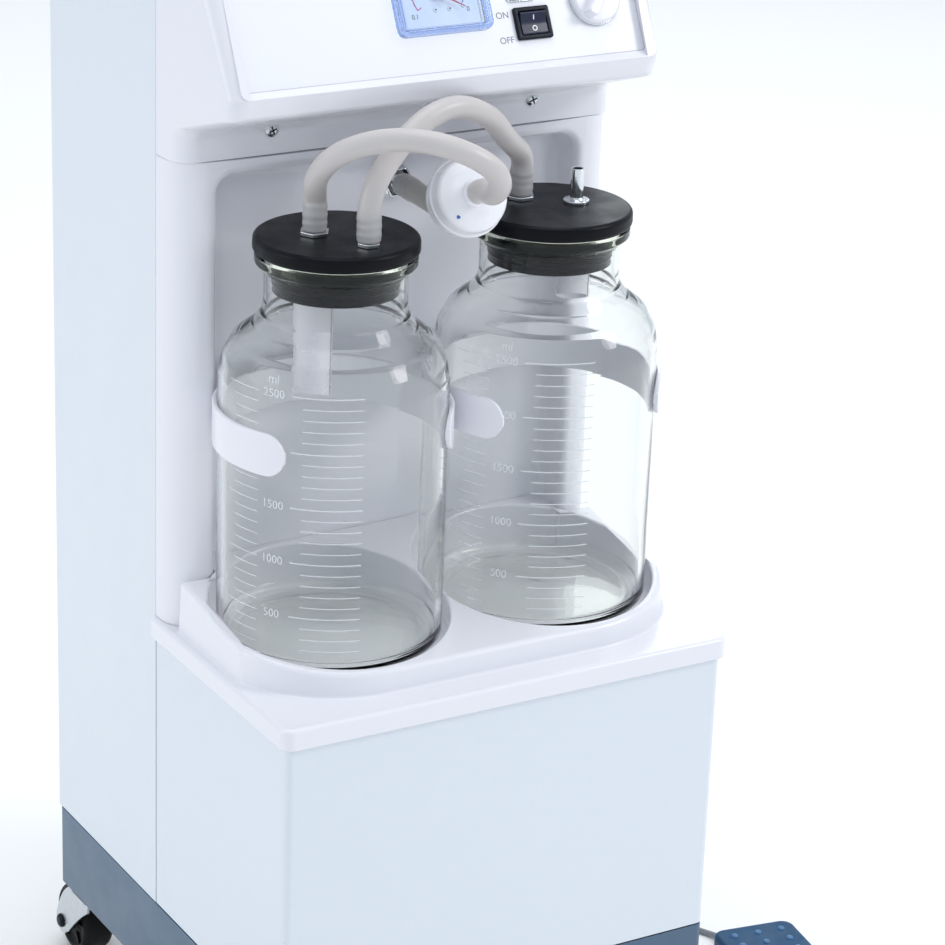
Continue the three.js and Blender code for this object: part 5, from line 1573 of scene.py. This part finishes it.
for row, caster_y in (("rear", 138), ("front", -150)):
    for column, caster_x in (("left", -133), ("right", 133)):
        stem = Matrix.Translation((caster_x, caster_y, 0))
        axle = stem @ Matrix.Translation((0, TRAIL, WHEEL_Z)) @ ACROSS
        make_fork(f"{row}_{column}", stem, axle)
        make_wheel(f"{row}_{column}", axle)

# ---- foot switch
PEDAL_W, PEDAL_L, PEDAL_TOP, PEDAL_EDGE = 62, 100, 31.5, 3.2


def make_foot_switch():
    half_w, half_l = PEDAL_W / 2, PEDAL_L / 2
    rings = tiers(centred(half_w - 3.5, half_l - 3.5, 8, 8), edge_profile(0, 14, 1.4, 0.5, 5))
    rings += tiers(centred(half_w - 5.5, half_l - 5.5, 6, 8), ((-0.4, 14), (0, 13.6), (0, 3.6), (0.6, 3)))
    piece("foot_base", Solid().loft(rings, FOOT), DARK_BLUE, sharp=60)
    skin, hollow = centred(half_w, half_l, 9, 8), centred(half_w - 2.5, half_l - 2.5, 7, 8)
    rings = tiers(hollow, ((2, 26), (0, 24), (-0.3, 9.5)))
    rings += tiers(skin, [(0.9, 9), (0.3, 9.2), (0, 9.9)] + [
        (PEDAL_EDGE * c, PEDAL_TOP - PEDAL_EDGE * s) for c, s in quarter(8)
    ])
    piece("foot_pedal", Solid().loft(rings, FOOT), STEEL_BLUE, body="pedal", sharp=60)
    studs = Solid()
    dome = [(0, -0.3), (2.7, -0.3), (2.6, 0.3), (2.1, 0.95), (1.2, 1.35), (0, 1.5)]
    for row in range(6):
        for column in (-18, 0.5, 18.8):
            spot = FOOT @ Matrix.Translation((column, 37.5 - 13.9 * row, PEDAL_TOP))
            studs.lathe(dome, [0, 0.1, 0.4, 0.5, 0.6, 0], 3, spot, 28)
    piece("foot_pedal_studs", studs, STUD_BLUE, body="pedal", extra=True)


make_foot_switch()


def make_strain_relief(name, place):
    """A tapered, ribbed boot, wide end at z = 0."""
    profile = [(0, -7), (3.1, -7), (3.1, -0.2), (5.2, 0), (5.2, 2.2), (4.4, 2.9)]
    for k in range(6):
        z, r = 3.4 + 2.6 * k, 4.3 - 0.2 * k
        profile += [(r - 0.75, z), (r - 0.75, z + 0.7), (r, z + 0.9), (r - 0.05, z + 2.2)]
    profile += [(2.9, 19.4), (2.6, 20), (0, 20)]
    piece(name, Solid().lathe(profile, 0.15, 2, place, 40), BLACK_RUBBER)


make_strain_relief("cable_gland", along_axis(GLAND_AT, (0, 1, 0)))
make_strain_relief("foot_gland", FOOT @ along_axis(Vector((-6, 46.8, 8)), (0, 1, 0)))

# ---- CAD parts that are shown as they are
for kept_node, kept_material, edge_width in (
    ("side_panel_left", BLUE, 0.4), ("side_panel_right", BLUE, 0.4), ("rear_panel", BLUE, 0),
    ("base_pan", ZINC, 0.3), ("mains_inlet", BLACK_PLASTIC, 0.4), ("regulator_valve", BRASS, 0.3),
    ("pump_motor", MOTOR, 0.6), ("pump_head", ALUMINIUM, 0.6), ("pump_cradle", ZINC, 0.5),
    ("capacitor", BLACK_PLASTIC, 0.6), ("foot_hinge_pin", ZINC, 0.2),
):
    dress(kept_node, kept_material, edge_width)


# ---- floor and light
def add_lamp(name, at, target, size, energy, tone):
    light = bpy.data.lights.new(name, "AREA")
    light.shape = "DISK"
    light.size = size
    light.energy = energy
    light.color = tone
    aim = (Vector(target) - Vector(at)).to_track_quat("-Z", "Y").to_matrix().to_4x4()
    add_to_scene(name, light, Matrix.Translation(at) @ aim)


def make_stage():
    """A pale floor, a faintly blue room, and four soft lamps."""
    paper = Shader("floor_paper", (0.95, 0.93, 0.92), 0.85)
    paper.bump(paper.noise(40, 3), 0.02, 0.002)
    mesh = bpy.data.meshes.new("floor")
    half = 30
    corners = [(-half, -half, 0), (half, -half, 0), (half, half, 0), (-half, half, 0)]
    mesh.from_pydata(corners, [], [(0, 1, 2, 3)])
    mesh.materials.append(paper.material)
    made = add_to_scene("floor", mesh)
    room = bpy.data.worlds.new("studio")
    room.use_nodes = True
    sky = next(n for n in room.node_tree.nodes if n.type == "BACKGROUND")
    sky.inputs["Color"].default_value = (0.82, 0.92, 1, 1)
    sky.inputs["Strength"].default_value = 0.78
    bpy.context.scene.world = room
    add_lamp("key", (2.4, -2.0, 2.6), (0, -0.05, 0.45), 1.3, 40, (1, 0.975, 0.98))
    add_lamp("left", (-3, 0.7, 1.3), (-0.1, 0, 0.45), 2, 15, (1, 0.99, 0.98))
    add_lamp("top", (0, 0.2, 3.4), (-0.08, 0, 0.5), 2.4, 30, (1, 1, 1))
    add_lamp("back", (1.8, 2.4, 2.2), (-0.08, 0, 0.5), 2, 16, (0.98, 0.99, 1))
    bpy.context.scene.view_settings.view_transform = "Standard"


make_stage()
